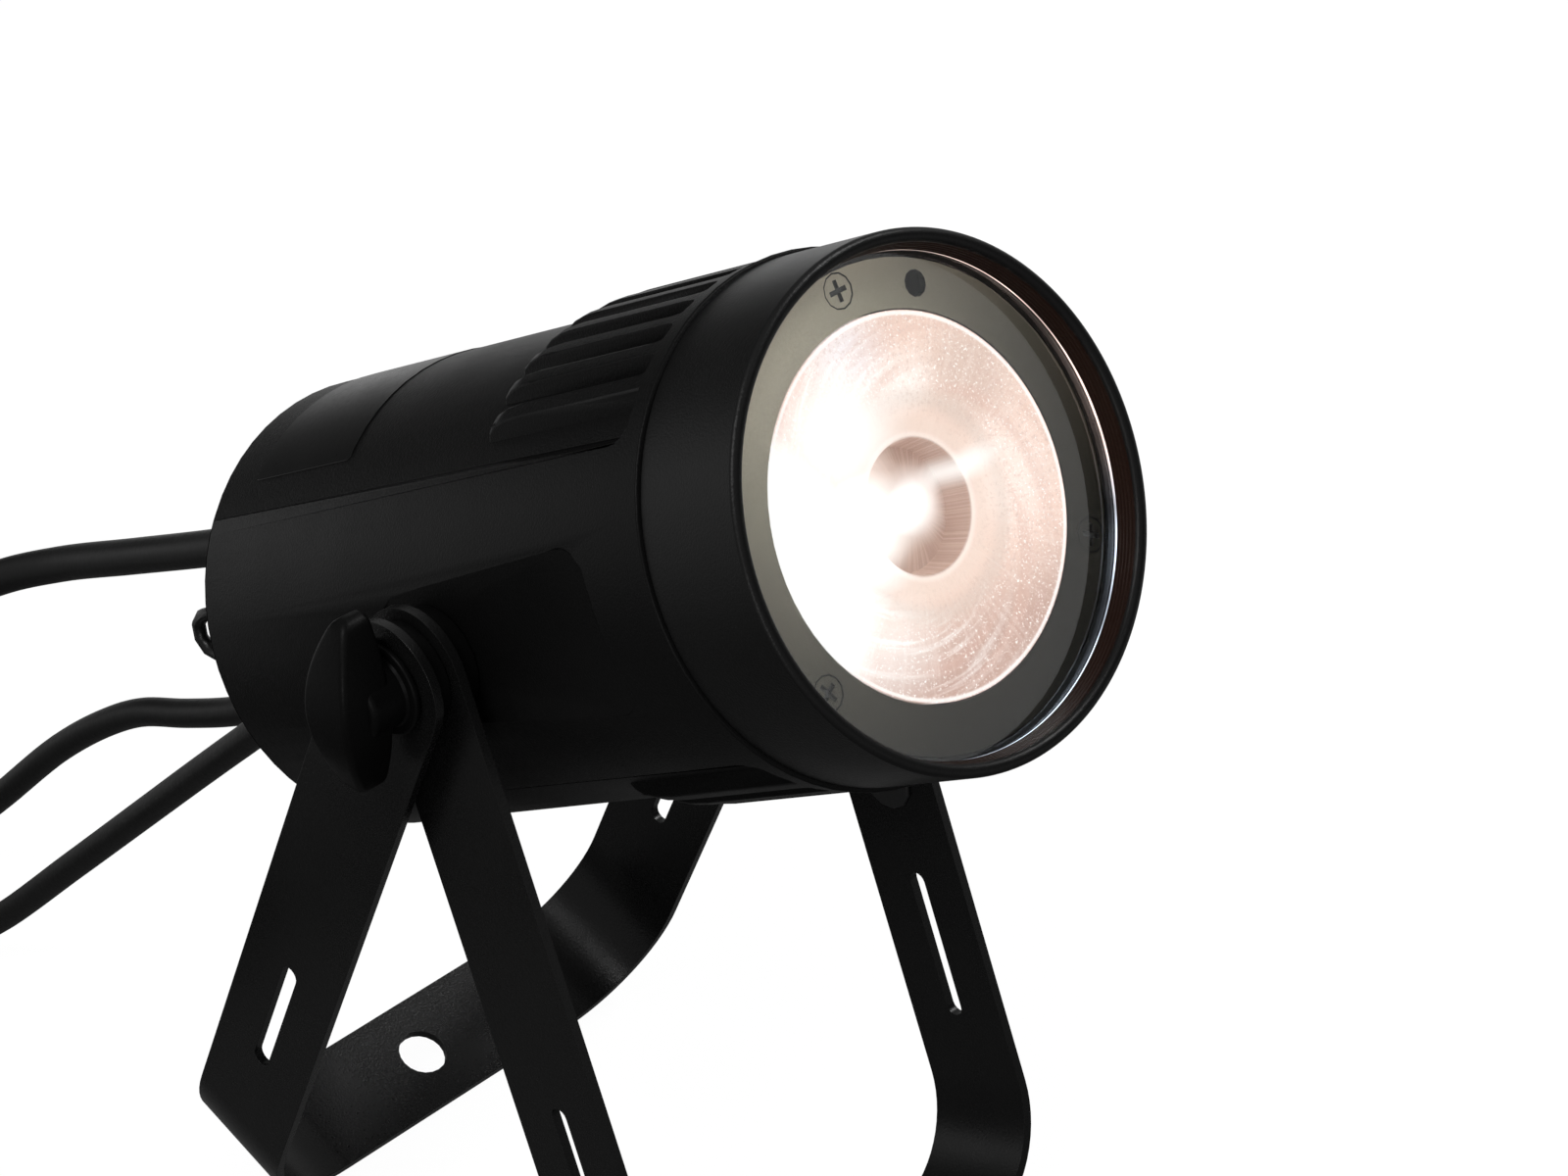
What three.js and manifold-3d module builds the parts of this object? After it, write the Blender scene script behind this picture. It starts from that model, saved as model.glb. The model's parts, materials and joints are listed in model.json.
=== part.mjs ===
import * as THREE from 'three';
import { mergeVertices } from 'three/addons/utils/BufferGeometryUtils.js';
import Module from 'manifold-3d';

const wasm = await Module();
wasm.setup();

// A lamp that tilts between two bent straps. Lengths are in millimetres and angles in degrees.
// Places along the lamp, called s, run forward from the pivot. The lamp's own frame has x across,
// y up and z forward. A bracket's own frame has x across and z down its legs.

// Driving dimensions of the stand.
const strapWidth = 26.5;
const strapThickness = 2.1;
const outerReach = 176.5;
const outerBend = 26.8;
const outerLean = 26.17;
const reachStep = 7.9;
const innerReach = outerReach - reachStep;
const innerBend = 25.5;
const slotStart = 94;
const slotEnd = 128;
const slotWidth = 4.2;
const mountHoleR = 5.5;
const pivotHoleR = 4.3;

// Driving dimensions of the lamp.
const lampTilt = 26.32;
const rearLength = 77.7;
const bodyLength = 73.3;
const ringLength = 26.45;
const ringR = 50;
const coreInset = 2.54;
const ribRise = 0.27;
const seamRise = 0.85;
const wall = 3.5;

// Clearances. Pieces that rest on each other or turn past each other stay this far apart.
const gap = 0.3;
const filmGap = 0.08;
const overrun = 2;

// Turned pieces and round bars.
const bodySides = 64;
const innerSides = 32;
const spacerSides = 20;
const smallSides = 12;
const tinySides = 8;
const arcSteps = 4;

const rad = THREE.MathUtils.degToRad;

const materials = {
  casting: { color: 0x1b1b1c, roughness: 0.55, metalness: 0.2 },
  steelPaint: { color: 0x1d1d1e, roughness: 0.5, metalness: 0.2 },
  blackPlastic: { color: 0x141415, roughness: 0.45, metalness: 0 },
  plate: { color: 0x161616, roughness: 0.6, metalness: 0 },
  rubber: { color: 0x101010, roughness: 0.8, metalness: 0 },
  cable: { color: 0x121212, roughness: 0.6, metalness: 0 },
  glass: { color: 0xeef2f2, roughness: 0.05, metalness: 0, transparent: true, opacity: 0.3 },
  lens: { color: 0xf4ece8, roughness: 0.1, metalness: 0, transparent: true, opacity: 0.8 },
  steel: { color: 0x9a9a9c, roughness: 0.35, metalness: 1 },
  blackScrew: { color: 0x232324, roughness: 0.4, metalness: 0.8 },
  brass: { color: 0xb5934a, roughness: 0.35, metalness: 1 },
  aluminium: { color: 0xb8babd, roughness: 0.4, metalness: 1 },
  board: { color: 0x1f5a38, roughness: 0.6, metalness: 0 },
  emitter: { color: 0xf2d680, roughness: 0.4, metalness: 0 },
  label: { color: 0x0e0e0f, roughness: 0.35, metalness: 0 },
  display: { color: 0x1a0b0b, roughness: 0.1, metalness: 0 },
};

// Closed solids from any closed geometry, and back.

function signedVolume(position, index) {
  const a = new THREE.Vector3();
  const b = new THREE.Vector3();
  const c = new THREE.Vector3();
  let sum = 0;
  for (let i = 0; i < index.length; i += 3) {
    a.fromBufferAttribute(position, index[i]);
    b.fromBufferAttribute(position, index[i + 1]);
    c.fromBufferAttribute(position, index[i + 2]);
    sum += a.dot(b.cross(c));
  }
  return sum;
}

function solid(geometry) {
  const bare = geometry.clone();
  bare.deleteAttribute('normal');
  bare.deleteAttribute('uv');
  const merged = mergeVertices(bare);
  const corners = merged.index.array;
  const index = [];
  for (let i = 0; i < corners.length; i += 3) {
    const [a, b, c] = [corners[i], corners[i + 1], corners[i + 2]];
    if (a !== b && b !== c && c !== a) index.push(a, b, c);
  }
  if (signedVolume(merged.attributes.position, index) < 0) index.reverse();
  return new wasm.Manifold(new wasm.Mesh({
    numProp: 3,
    vertProperties: new Float32Array(merged.attributes.position.array),
    triVerts: new Uint32Array(index),
  }));
}

function geometryOf(manifold) {
  const mesh = manifold.getMesh();
  const geometry = new THREE.BufferGeometry();
  geometry.setAttribute('position', new THREE.BufferAttribute(mesh.vertProperties, 3));
  geometry.setIndex(new THREE.BufferAttribute(mesh.triVerts, 1));
  geometry.computeVertexNormals();
  return geometry;
}

// Basic forms. A profile is a list of [radius, place along the axis].

function turned(profile, sides = smallSides) {
  const points = profile.map(([r, s]) => new THREE.Vector2(r, s));
  const closed = profile[0][0] > 0 || profile[profile.length - 1][0] > 0;
  if (closed) points.push(points[0].clone());
  return solid(new THREE.LatheGeometry(points, sides).rotateX(Math.PI / 2));
}

function disc(r, from, to, sides = smallSides) {
  return turned([[0, from], [r, from], [r, to], [0, to]], sides);
}

// A cutter whose flats, not corners, lie at the radius, so that a turned piece of that radius clears it.
function flatRadius(r, sides) {
  return r / Math.cos(Math.PI / sides);
}

function bore(r, from, to, sides = smallSides) {
  return disc(flatRadius(r, sides), from, to, sides);
}

function tubeRing(inner, outer, from, to, sides = smallSides) {
  return turned([[inner, from], [outer, from], [outer, to], [inner, to]], sides);
}

function box(x0, x1, y0, y1, z0, z1) {
  const geometry = new THREE.BoxGeometry(x1 - x0, y1 - y0, z1 - z0);
  return solid(geometry.translate((x0 + x1) / 2, (y0 + y1) / 2, (z0 + z1) / 2));
}

function extruded(shape, depth) {
  return new THREE.ExtrudeGeometry(shape, { depth, bevelEnabled: false, curveSegments: arcSteps });
}

// A side outline holds [place along z, height y] and is extruded across.
function sidePrism(shape, x0, x1) {
  return solid(extruded(shape, x1 - x0).rotateY(-Math.PI / 2).translate(x1, 0, 0));
}

// A plan outline holds [x, place along z] and is extruded upward.
function planPrism(shape, y0, y1) {
  return solid(extruded(shape, y1 - y0).rotateX(Math.PI / 2).translate(0, y1, 0));
}

// A front outline holds [x, y] and is extruded forward.
function frontPrism(shape, z0, z1) {
  return solid(extruded(shape, z1 - z0).translate(0, 0, z0));
}

function roundedRectangle(x0, x1, y0, y1, r) {
  const shape = new THREE.Shape();
  shape.moveTo(x0 + r, y0);
  shape.lineTo(x1 - r, y0);
  shape.absarc(x1 - r, y0 + r, r, -Math.PI / 2, 0, false);
  shape.lineTo(x1, y1 - r);
  shape.absarc(x1 - r, y1 - r, r, 0, Math.PI / 2, false);
  shape.lineTo(x0 + r, y1);
  shape.absarc(x0 + r, y1 - r, r, Math.PI / 2, Math.PI, false);
  shape.lineTo(x0, y0 + r);
  shape.absarc(x0 + r, y0 + r, r, Math.PI, Math.PI * 1.5, false);
  return shape;
}

// A body turned about the cross axis: its profile's places run outward from the middle.
function acrossTurned(profile, side, sides = smallSides) {
  return turned(profile, sides).rotate([0, side * 90, 0]);
}

function union(solids) {
  return solids.reduce((all, next) => all.add(next));
}

function without(base, cutters) {
  return cutters.reduce((rest, cutter) => rest.subtract(cutter), base);
}

const mirrorX = (body) => body.mirror([1, 0, 0]);
const mirrorY = (body) => body.mirror([0, 1, 0]);

// Meshes and groups.

function addMesh(group, name, manifold, material) {
  const mesh = new THREE.Mesh(geometryOf(manifold), new THREE.MeshStandardMaterial(materials[material]));
  mesh.name = name;
  group.add(mesh);
  return mesh;
}

// Radii and places along the lamp that several pieces share.
const coreR = ringR - coreInset;
const ribR = ringR + ribRise;
const seamR = ringR + seamRise;
const boreR = coreR - wall;
const ringFront = bodyLength + ringLength;
const glassSetback = 5.75;
const glassThickness = 2.5;
const glassFront = ringFront - glassSetback;
const glassBack = glassFront - glassThickness;
const plateThickness = 1.5;
const plateFront = glassBack - gap;
const plateBack = plateFront - plateThickness;
const noseFront = plateBack - gap;
const ringWall = 1.8;
const ringBoreR = ringR - ringWall;
const noseR = ringBoreR - gap;

// Pivot stack: distances out from the lamp's middle plane, from the housing's flat to the knob's foot.
const facetDepth = 3.05;
const bodySpacerRoom = 5.2;
const legSpacerRoom = 4.4;
const facetX = ringR - facetDepth;
const innerLegIn = facetX + bodySpacerRoom;
const innerLegOut = innerLegIn + strapThickness;
const outerLegIn = innerLegOut + legSpacerRoom;
const outerLegOut = outerLegIn + strapThickness;
const knobFoot = outerLegOut + gap;
const studR = 3.8;
const studHoleR = flatRadius(studR + gap, smallSides);
const spacerR = 11;

// Pivot inserts in the housing's side bosses.
const insertR = 5.4;
const insertDepth = 8.6;
const pivotBossR = 9;
const insertHoleR = flatRadius(insertR + gap, smallSides);

// Screws of the lens plate.
const plateScrewInset = 3.6;
const plateScrewHeadR = 3.2;
const plateScrewR = 1.5;
const plateScrewLength = 12;
const plateScrewHead = 1.3;
const plateBossR = 3.6;
const plateBossLength = 32;
const plateScrewAngles = [90, 210, 330];

// Rear cover and its screws.
const coverRecess = 1.5;
const coverThickness = 2.5;
const coverBack = -rearLength + coverRecess;
const coverFront = coverBack + coverThickness;
const coverR = boreR - gap;
const coverScrewInset = 6.16;
const coverScrewCircle = coverR - coverScrewInset;
const coverScrewR = 1.5;
const coverScrewHeadR = 2.9;
const coverScrewHead = 1.2;
const coverScrewLength = 14;
const coverBossR = 4;
const coverBossLength = 20;
const coverScrewAngles = [45, 135, 225, 315];

function onCircle(radius, degrees) {
  return [radius * Math.cos(rad(degrees)), radius * Math.sin(rad(degrees))];
}

// Housing: core tube with collar and nose, cheeks, ribs, pockets and inner bosses.
const collarLength = 5.3;
const collarBack = bodyLength - collarLength;
const rearChamfer = 1;
const cheekLevelLength = 2;
const cheekFullAt = collarBack - cheekLevelLength;
const cheekOverCore = 0.04;
const ledgeHeightRear = 32.7;
const ledgeHeightFront = 31.9;
const ledgeFillet = 4;
const skinDepth = 2;
const ribPitch = 6.72;
const ribWidth = 2.6;
const ribCount = 10;
const ribRear = 19.5;
const ribRampLength = 10.5;
const ribFillet = 1;
const pocketSetback = 13.6;
const pocketFront = collarBack - pocketSetback;
const pocketHeight = 16.6;
const pocketCorner = 7;
const pocketRearR = 16;

function cheekRadius(s) {
  const share = Math.min(1, (s + rearLength) / (cheekFullAt + rearLength));
  return coreR + cheekOverCore + (ribR - coreR - cheekOverCore) * share;
}

function core() {
  return turned([
    [boreR, -rearLength],
    [coreR - rearChamfer, -rearLength],
    [coreR, -rearLength + rearChamfer],
    [coreR, collarBack],
    [ribR, collarBack],
    [seamR, bodyLength],
    [noseR, bodyLength],
    [noseR, noseFront],
    [boreR, noseFront],
  ], bodySides);
}

function cheeks() {
  const rear = -rearLength + rearChamfer;
  const front = collarBack + overrun / 2;
  const cone = turned([
    [coreR - skinDepth, rear],
    [cheekRadius(rear), rear],
    [ribR, cheekFullAt],
    [ribR, front],
    [coreR - skinDepth, front],
  ], bodySides);
  const outline = new THREE.Shape();
  const flare = ledgeHeightFront + ledgeFillet;
  outline.moveTo(rear - overrun, -ledgeHeightRear);
  outline.lineTo(collarBack - ledgeFillet, -ledgeHeightFront);
  outline.absarc(collarBack - ledgeFillet, -flare, ledgeFillet, Math.PI / 2, 0, true);
  outline.lineTo(front + overrun, -flare);
  outline.lineTo(front + overrun, flare);
  outline.lineTo(collarBack, flare);
  outline.absarc(collarBack - ledgeFillet, flare, ledgeFillet, 0, -Math.PI / 2, true);
  outline.lineTo(rear - overrun, ledgeHeightRear);
  const cheekStart = Math.sqrt((coreR - skinDepth) ** 2 - (ledgeHeightFront + ledgeFillet) ** 2) - overrun;
  const side = sidePrism(outline, cheekStart, ringR + overrun);
  return union([cone.intersect(side), cone.intersect(mirrorX(side))]);
}

function combOutline() {
  const half = (ribPitch * (ribCount - 1) + ribWidth) / 2;
  const outline = new THREE.Shape();
  outline.moveTo(-half, ribRear - overrun);
  outline.lineTo(-half, collarBack + overrun / 2);
  outline.lineTo(half, collarBack + overrun / 2);
  outline.lineTo(half, ribRear - overrun);
  for (let i = ribCount - 1; i > 0; i -= 1) {
    const right = -half + i * ribPitch;
    const left = right - ribPitch + ribWidth;
    outline.lineTo(right, ribRear - overrun);
    outline.lineTo(right, collarBack - ribFillet);
    outline.absarc(right - ribFillet, collarBack - ribFillet, ribFillet, 0, Math.PI / 2, false);
    outline.lineTo(left + ribFillet, collarBack);
    outline.absarc(left + ribFillet, collarBack - ribFillet, ribFillet, Math.PI / 2, Math.PI, false);
    outline.lineTo(left, ribRear - overrun);
  }
  return outline;
}

function ribs() {
  const ramp = [];
  for (let i = 0; i <= arcSteps; i += 1) {
    const turn = (Math.PI / 2) * (i / arcSteps);
    ramp.push([coreR + (ribR - coreR) * Math.sin(turn), ribRear + ribRampLength * (1 - Math.cos(turn))]);
  }
  const envelope = turned([
    [coreR - skinDepth, ribRear],
    ...ramp,
    [ribR, collarBack + overrun / 2],
    [coreR - skinDepth, collarBack + overrun / 2],
  ], bodySides);
  const comb = planPrism(combOutline(), coreR / 2, ringR + overrun);
  const top = envelope.intersect(comb);
  return union([top, mirrorY(top)]);
}

function pocketCutter() {
  const outline = new THREE.Shape();
  outline.moveTo(0, -pocketRearR);
  outline.lineTo(pocketFront - pocketCorner, -pocketHeight);
  const cornerX = pocketFront - pocketCorner;
  const cornerY = pocketHeight - pocketCorner;
  outline.absarc(cornerX, -cornerY, pocketCorner, -Math.PI / 2, 0, false);
  outline.lineTo(pocketFront, cornerY);
  outline.absarc(cornerX, cornerY, pocketCorner, 0, Math.PI / 2, false);
  outline.lineTo(0, pocketRearR);
  outline.absarc(0, 0, pocketRearR, Math.PI / 2, Math.PI * 1.5, false);
  return sidePrism(outline, facetX, ringR + overrun);
}

function innerBosses() {
  const bosses = plateScrewAngles.map((angle) => {
    const [x, y] = onCircle(plateScrewCircle, angle);
    return disc(plateBossR, noseFront - plateBossLength, noseFront).translate([x, y, 0]);
  });
  const coverBossFrom = coverFront + gap;
  for (const angle of coverScrewAngles) {
    const [x, y] = onCircle(coverScrewCircle, angle);
    bosses.push(disc(coverBossR, coverBossFrom, coverBossFrom + coverBossLength).translate([x, y, 0]));
  }
  for (const side of [-1, 1]) {
    const start = facetX - insertDepth - strapThickness;
    const end = facetX - filmGap;
    bosses.push(acrossTurned([[0, start], [pivotBossR, start], [pivotBossR, end], [0, end]], side));
  }
  return bosses;
}

function coverBossWeb(angle) {
  const [x, y] = onCircle(1, angle);
  const from = coverScrewCircle;
  const to = boreR + wall / 2;
  const front = coverFront + gap;
  const web = box(from, to, -coverBossR / 2, coverBossR / 2, front, front + coverBossLength);
  return web.rotate([0, 0, THREE.MathUtils.radToDeg(Math.atan2(y, x))]);
}

function housing() {
  const insertHole = (side) => acrossTurned([
    [0, facetX - insertDepth], [insertHoleR, facetX - insertDepth],
    [insertHoleR, facetX + overrun], [0, facetX + overrun],
  ], side);
  const studRoom = (side) => acrossTurned([
    [0, boreR / 2], [studHoleR, boreR / 2], [studHoleR, facetX], [0, facetX],
  ], side);
  const screwHoles = plateScrewAngles.map((angle) => {
    const [x, y] = onCircle(plateScrewCircle, angle);
    const end = plateFront - plateScrewLength - gap;
    return bore(plateScrewR + gap, end, plateFront, tinySides).translate([x, y, 0]);
  });
  for (const angle of coverScrewAngles) {
    const [x, y] = onCircle(coverScrewCircle, angle);
    const end = coverBack + coverScrewLength + gap;
    screwHoles.push(bore(coverScrewR + gap, coverBack, end, tinySides).translate([x, y, 0]));
  }
  const shell = union([
    core(), cheeks(), ribs(), ...coverScrewAngles.map(coverBossWeb), ...innerBosses(),
  ]);
  const pocket = pocketCutter();
  return without(shell, [
    pocket, mirrorX(pocket), insertHole(-1), insertHole(1), studRoom(-1), studRoom(1), ...screwHoles,
  ]);
}

// Front ring: plain outside, lip in front of the glass, rounded rim.
const seamGap = 0.45;
const seamEdge = 0.5;
const rimInset = 2.7;
const lipInset = 3.5;
const rimR = ringR - rimInset;
const lipR = ringR - lipInset;
const rimRound = 1.1;

function frontRing() {
  const back = bodyLength + seamGap;
  const middle = (ringR + rimR) / 2;
  const half = (ringR - rimR) / 2;
  const rim = [];
  for (let i = 0; i <= arcSteps; i += 1) {
    const turn = Math.PI * (i / arcSteps);
    rim.push([middle + half * Math.cos(turn), ringFront - rimRound + rimRound * Math.sin(turn)]);
  }
  return turned([
    [ringBoreR, back],
    [ringR - seamEdge, back],
    [ringR, back + seamEdge],
    ...rim,
    [lipR, glassFront + gap],
    [ringBoreR, glassFront + gap],
  ], bodySides);
}

const glassR = ringBoreR - gap;
const glassEdge = 0.4;

function frontGlass() {
  return turned([
    [0, glassBack],
    [glassR, glassBack],
    [glassR, glassFront - glassEdge],
    [glassR - glassEdge, glassFront],
    [0, glassFront],
  ], bodySides);
}

const sealWidth = 2;

function glassSeal() {
  return tubeRing(glassR - sealWidth, glassR, plateBack, plateFront, innerSides);
}

// Lens, plate and holder.
const plateR = glassR - sealWidth - gap;
const plateScrewCircle = plateR - plateScrewInset;
const plateBand = 9.7;
const lensR = plateR - plateBand;
const lensHoleR = lensR + gap;
const lensFront = plateFront - gap / 2;
const lensFlange = 2.5;
const lensHeight = 34;
const lensBaseR = 12;
const lensShoulder = 1.5;
const lensShoulderR = lensR - lensShoulder;
const lensCavityR = 6;
const lensCavityDepth = 6;
const wellR = 12.6;
const wellDepth = 6.5;
const wellDome = 2.4;
const wellTaper = 1;
const saddleR = 20;
const saddleDepth = 0.9;
const lensBase = lensFront - lensHeight;
const signalHole = { r: 2.5, x: 18, y: 36.8 };

function lensPlate() {
  const sinkBackR = plateScrewR + gap;
  const sinks = plateScrewAngles.map((angle) => {
    const [x, y] = onCircle(plateScrewCircle, angle);
    const profile = [
      [0, plateBack - overrun], [sinkBackR, plateBack - overrun], [sinkBackR, plateFront - plateScrewHead],
      [plateScrewHeadR + gap, plateFront], [plateScrewHeadR + gap, plateFront + overrun],
      [0, plateFront + overrun],
    ];
    return turned(profile).translate([x, y, 0]);
  });
  const hole = bore(signalHole.r, plateBack - overrun, plateFront + overrun);
  return without(tubeRing(lensHoleR, plateR, plateBack, plateFront, bodySides), [
    ...sinks, hole.translate([signalHole.x, signalHole.y, 0]),
  ]);
}

// A cross recess in a screw head that faces along z.
function crossRecess(length, width, from, to) {
  return union([
    box(-length / 2, length / 2, -width / 2, width / 2, from, to),
    box(-width / 2, width / 2, -length / 2, length / 2, from, to),
  ]);
}

const recessLengthShare = 1.3;
const recessWidthShare = 0.3;
const recessDepthShare = 0.6;

function plateScrew() {
  const front = plateFront - filmGap;
  const neck = front - plateScrewHead;
  const body = turned([
    [0, plateFront - plateScrewLength],
    [plateScrewR, plateFront - plateScrewLength],
    [plateScrewR, neck],
    [plateScrewHeadR, front],
    [0, front],
  ]);
  const cross = crossRecess(
    plateScrewHeadR * recessLengthShare, plateScrewHeadR * recessWidthShare,
    front - plateScrewHead * recessDepthShare, front + overrun,
  );
  return body.subtract(cross);
}

function lens() {
  const side = new THREE.QuadraticBezierCurve(
    new THREE.Vector2(lensBaseR, lensBase),
    new THREE.Vector2((lensBaseR + lensShoulderR) / 2, lensBase + lensHeight / 3),
    new THREE.Vector2(lensShoulderR, lensFront - lensFlange),
  );
  const well = [];
  for (let i = 0; i <= arcSteps; i += 1) {
    const share = 1 - i / arcSteps;
    const floor = lensFront - wellDepth;
    well.push([(wellR - wellTaper) * share, floor + wellDome * (1 - share * share)]);
  }
  return turned([
    [0, lensBase + lensCavityDepth],
    [lensCavityR, lensBase + lensCavityDepth],
    [lensCavityR, lensBase],
    ...side.getPoints(arcSteps).map((p) => [p.x, p.y]),
    [lensR, lensFront - lensFlange],
    [lensR, lensFront],
    [saddleR, lensFront],
    [(saddleR + wellR) / 2, lensFront - saddleDepth / 3],
    [wellR, lensFront - saddleDepth],
    ...well,
  ], innerSides);
}

const holderWall = 1.5;
const holderInnerR = lensHoleR + gap;
const holderOuterR = holderInnerR + holderWall;
const holderLedge = 2;
const holderFloor = 2;
const boardR = 25;
const boardThickness = 1.6;
const boardFront = lensBase - gap;
const boardBack = boardFront - boardThickness;
const spreaderFront = boardBack - gap;
const spreaderThickness = 6;
const spreaderBack = spreaderFront - spreaderThickness;

function lensHolder() {
  const ledgeTop = lensFront - lensFlange - gap;
  const ledgeR = lensShoulderR + gap;
  const base = spreaderFront + gap;
  return turned([
    [boardR + gap, base],
    [holderOuterR, base],
    [holderOuterR, plateBack - gap],
    [holderInnerR, plateBack - gap],
    [holderInnerR, ledgeTop],
    [ledgeR, ledgeTop],
    [ledgeR, ledgeTop - holderLedge],
    [holderInnerR, ledgeTop - holderLedge - holderWall],
    [holderInnerR, base + holderFloor],
    [boardR + gap, base + holderFloor],
  ], innerSides);
}

const emitterSize = 7;
const emitterBase = 1;
const emitterDomeR = 3;

function ledEmitter() {
  const half = emitterSize / 2;
  const start = boardFront + gap / 2;
  const base = box(-half, half, -half, half, start, start + emitterBase);
  const middle = start + emitterBase / 2;
  const dome = [[0, middle]];
  for (let i = 0; i <= arcSteps; i += 1) {
    const turn = (Math.PI / 2) * (i / arcSteps);
    dome.push([emitterDomeR * Math.cos(turn), middle + emitterDomeR * Math.sin(turn)]);
  }
  return base.add(turned(dome));
}

const wireNotchShare = 0.85;

function spreader() {
  const notch = box(-pivotBossR / 2, pivotBossR / 2, -boreR - overrun, -boreR * wireNotchShare,
    spreaderBack - overrun, spreaderFront + overrun);
  return disc(boreR - gap, spreaderBack, spreaderFront, innerSides).subtract(notch);
}

// Boards that slide into the bore from the rear.
const powerBoardHeight = -17;
const driverBoardHeight = 15;
const boardMargin = 0.4;
const powerBoardLength = 96;
const driverBoardLength = 60;
const boardRearRoom = 10;
const transformer = { width: 30, length: 26, height: 20 };
const capacitor = { r: 8, length: 22 };
const coil = { r: 7, length: 9 };

function boardPlate(height, length) {
  const edge = Math.max(Math.abs(height), Math.abs(height + boardThickness));
  const half = Math.sqrt(boreR ** 2 - edge ** 2) - boardMargin;
  const front = spreaderBack - gap;
  return box(-half, half, height, height + boardThickness, front - length, front);
}

function powerTransformer() {
  const bottom = powerBoardHeight + boardThickness + gap;
  const front = spreaderBack - boardRearRoom;
  const half = transformer.width / 2;
  return box(-half, half, bottom, bottom + transformer.height, front - transformer.length, front);
}

function powerCapacitor() {
  const bottom = powerBoardHeight + boardThickness + gap;
  const front = spreaderBack - boardRearRoom - transformer.length - boardRearRoom;
  const body = disc(capacitor.r, front - capacitor.length, front);
  return body.translate([0, bottom + capacitor.r, 0]);
}

function driverCoil() {
  const bottom = driverBoardHeight + boardThickness + gap;
  const front = spreaderBack - boardRearRoom;
  const post = disc(coil.r, 0, coil.length).rotate([-90, 0, 0]);
  return post.translate([0, bottom, front - coil.r]);
}

// Rear cover with strain reliefs, eyelet, display and buttons.
const mainsExit = { x: -2, y: 19 };
const dataExitA = { x: -3, y: -18 };
const dataExitB = { x: -27, y: -15 };
const mainsRelief = { neckR: 6.2, flangeR: 8, flange: 2.2, baseR: 6.6, tipR: 5.2, length: 27 };
const dataRelief = { neckR: 4.8, flangeR: 6.4, flange: 1.8, baseR: 5.2, tipR: 4.2, length: 21 };
const shortDataRelief = { ...dataRelief, length: 14 };
const eyeletInset = 6.46;
const eyelet = { x: eyeletInset - coverR, y: 9.5, half: 4.7, barR: 1.5, length: 18.2 };
const display = { x: 18, y: 4, width: 26, height: 12, corner: 1, lip: 1.2, depth: 1.6 };
const button = { r: 2.2, y: -10, pitch: 7, first: 7.5, proud: 1, stem: 3.4, travel: 0.6, flange: 0.9 };
const buttonCount = 4;

function buttonX(i) {
  return button.first + i * button.pitch;
}

function rearCover() {
  const from = coverBack - overrun;
  const to = coverFront + overrun;
  const throughHole = (r, x, y) => bore(r, from, to).translate([x, y, 0]);
  const cuts = [
    throughHole(mainsRelief.neckR + gap, mainsExit.x, mainsExit.y),
    throughHole(dataRelief.neckR + gap, dataExitA.x, dataExitA.y),
    throughHole(dataRelief.neckR + gap, dataExitB.x, dataExitB.y),
    throughHole(eyelet.barR + gap, eyelet.x, eyelet.y - eyelet.half),
    throughHole(eyelet.barR + gap, eyelet.x, eyelet.y + eyelet.half),
  ];
  for (const angle of coverScrewAngles) {
    cuts.push(throughHole(coverScrewR + gap, ...onCircle(coverScrewCircle, angle)));
  }
  for (let i = 0; i < buttonCount; i += 1) cuts.push(throughHole(button.r + gap, buttonX(i), button.y));
  const { x, y, width, height, corner, lip } = display;
  const window = roundedRectangle(x - width / 2, x + width / 2, y - height / 2, y + height / 2, corner);
  const inner = roundedRectangle(
    x - width / 2 + lip, x + width / 2 - lip, y - height / 2 + lip, y + height / 2 - lip, corner,
  );
  cuts.push(frontPrism(window, from, coverBack + display.depth));
  cuts.push(frontPrism(inner, from, to));
  return without(disc(coverR, coverBack, coverFront, bodySides), cuts);
}

function displayWindow() {
  const { x, y, width, height, corner } = display;
  const outline = roundedRectangle(
    x - width / 2 + gap, x + width / 2 - gap, y - height / 2 + gap, y + height / 2 - gap, corner,
  );
  return frontPrism(outline, coverBack + filmGap, coverBack + display.depth - gap);
}

function pushButton(i) {
  const body = turned([
    [0, coverBack - button.proud],
    [button.r, coverBack - button.proud],
    [button.r, coverFront + gap],
    [button.r + button.flange, coverFront + gap],
    [button.r + button.flange, coverFront + button.stem],
    [0, coverFront + button.stem],
  ]);
  return body.translate([buttonX(i), button.y, 0]);
}

function coverScrew(angle) {
  const [x, y] = onCircle(coverScrewCircle, angle);
  const top = coverBack - gap - coverScrewHead;
  const body = turned([
    [0, top],
    [coverScrewHeadR - coverScrewHead / 2, top],
    [coverScrewHeadR, top + coverScrewHead / 2],
    [coverScrewHeadR, coverBack - gap],
    [coverScrewR, coverBack - gap],
    [coverScrewR, coverBack + coverScrewLength],
    [0, coverBack + coverScrewLength],
  ]);
  const cross = crossRecess(
    coverScrewHeadR * recessLengthShare, coverScrewHeadR * recessWidthShare,
    top - overrun, top + coverScrewHead * recessDepthShare,
  );
  return body.subtract(cross).translate([x, y, 0]);
}

function strainRelief(size, exit) {
  const shoulder = coverBack - gap;
  const body = turned([
    [0, shoulder - size.flange - size.length],
    [size.tipR, shoulder - size.flange - size.length],
    [size.baseR, shoulder - size.flange],
    [size.flangeR, shoulder - size.flange],
    [size.flangeR, shoulder],
    [size.neckR, shoulder],
    [size.neckR, coverFront + gap],
    [size.flangeR, coverFront + gap],
    [size.flangeR, coverFront + gap + size.flange],
    [0, coverFront + gap + size.flange],
  ]);
  return body.translate([exit.x, exit.y, 0]);
}

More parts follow.
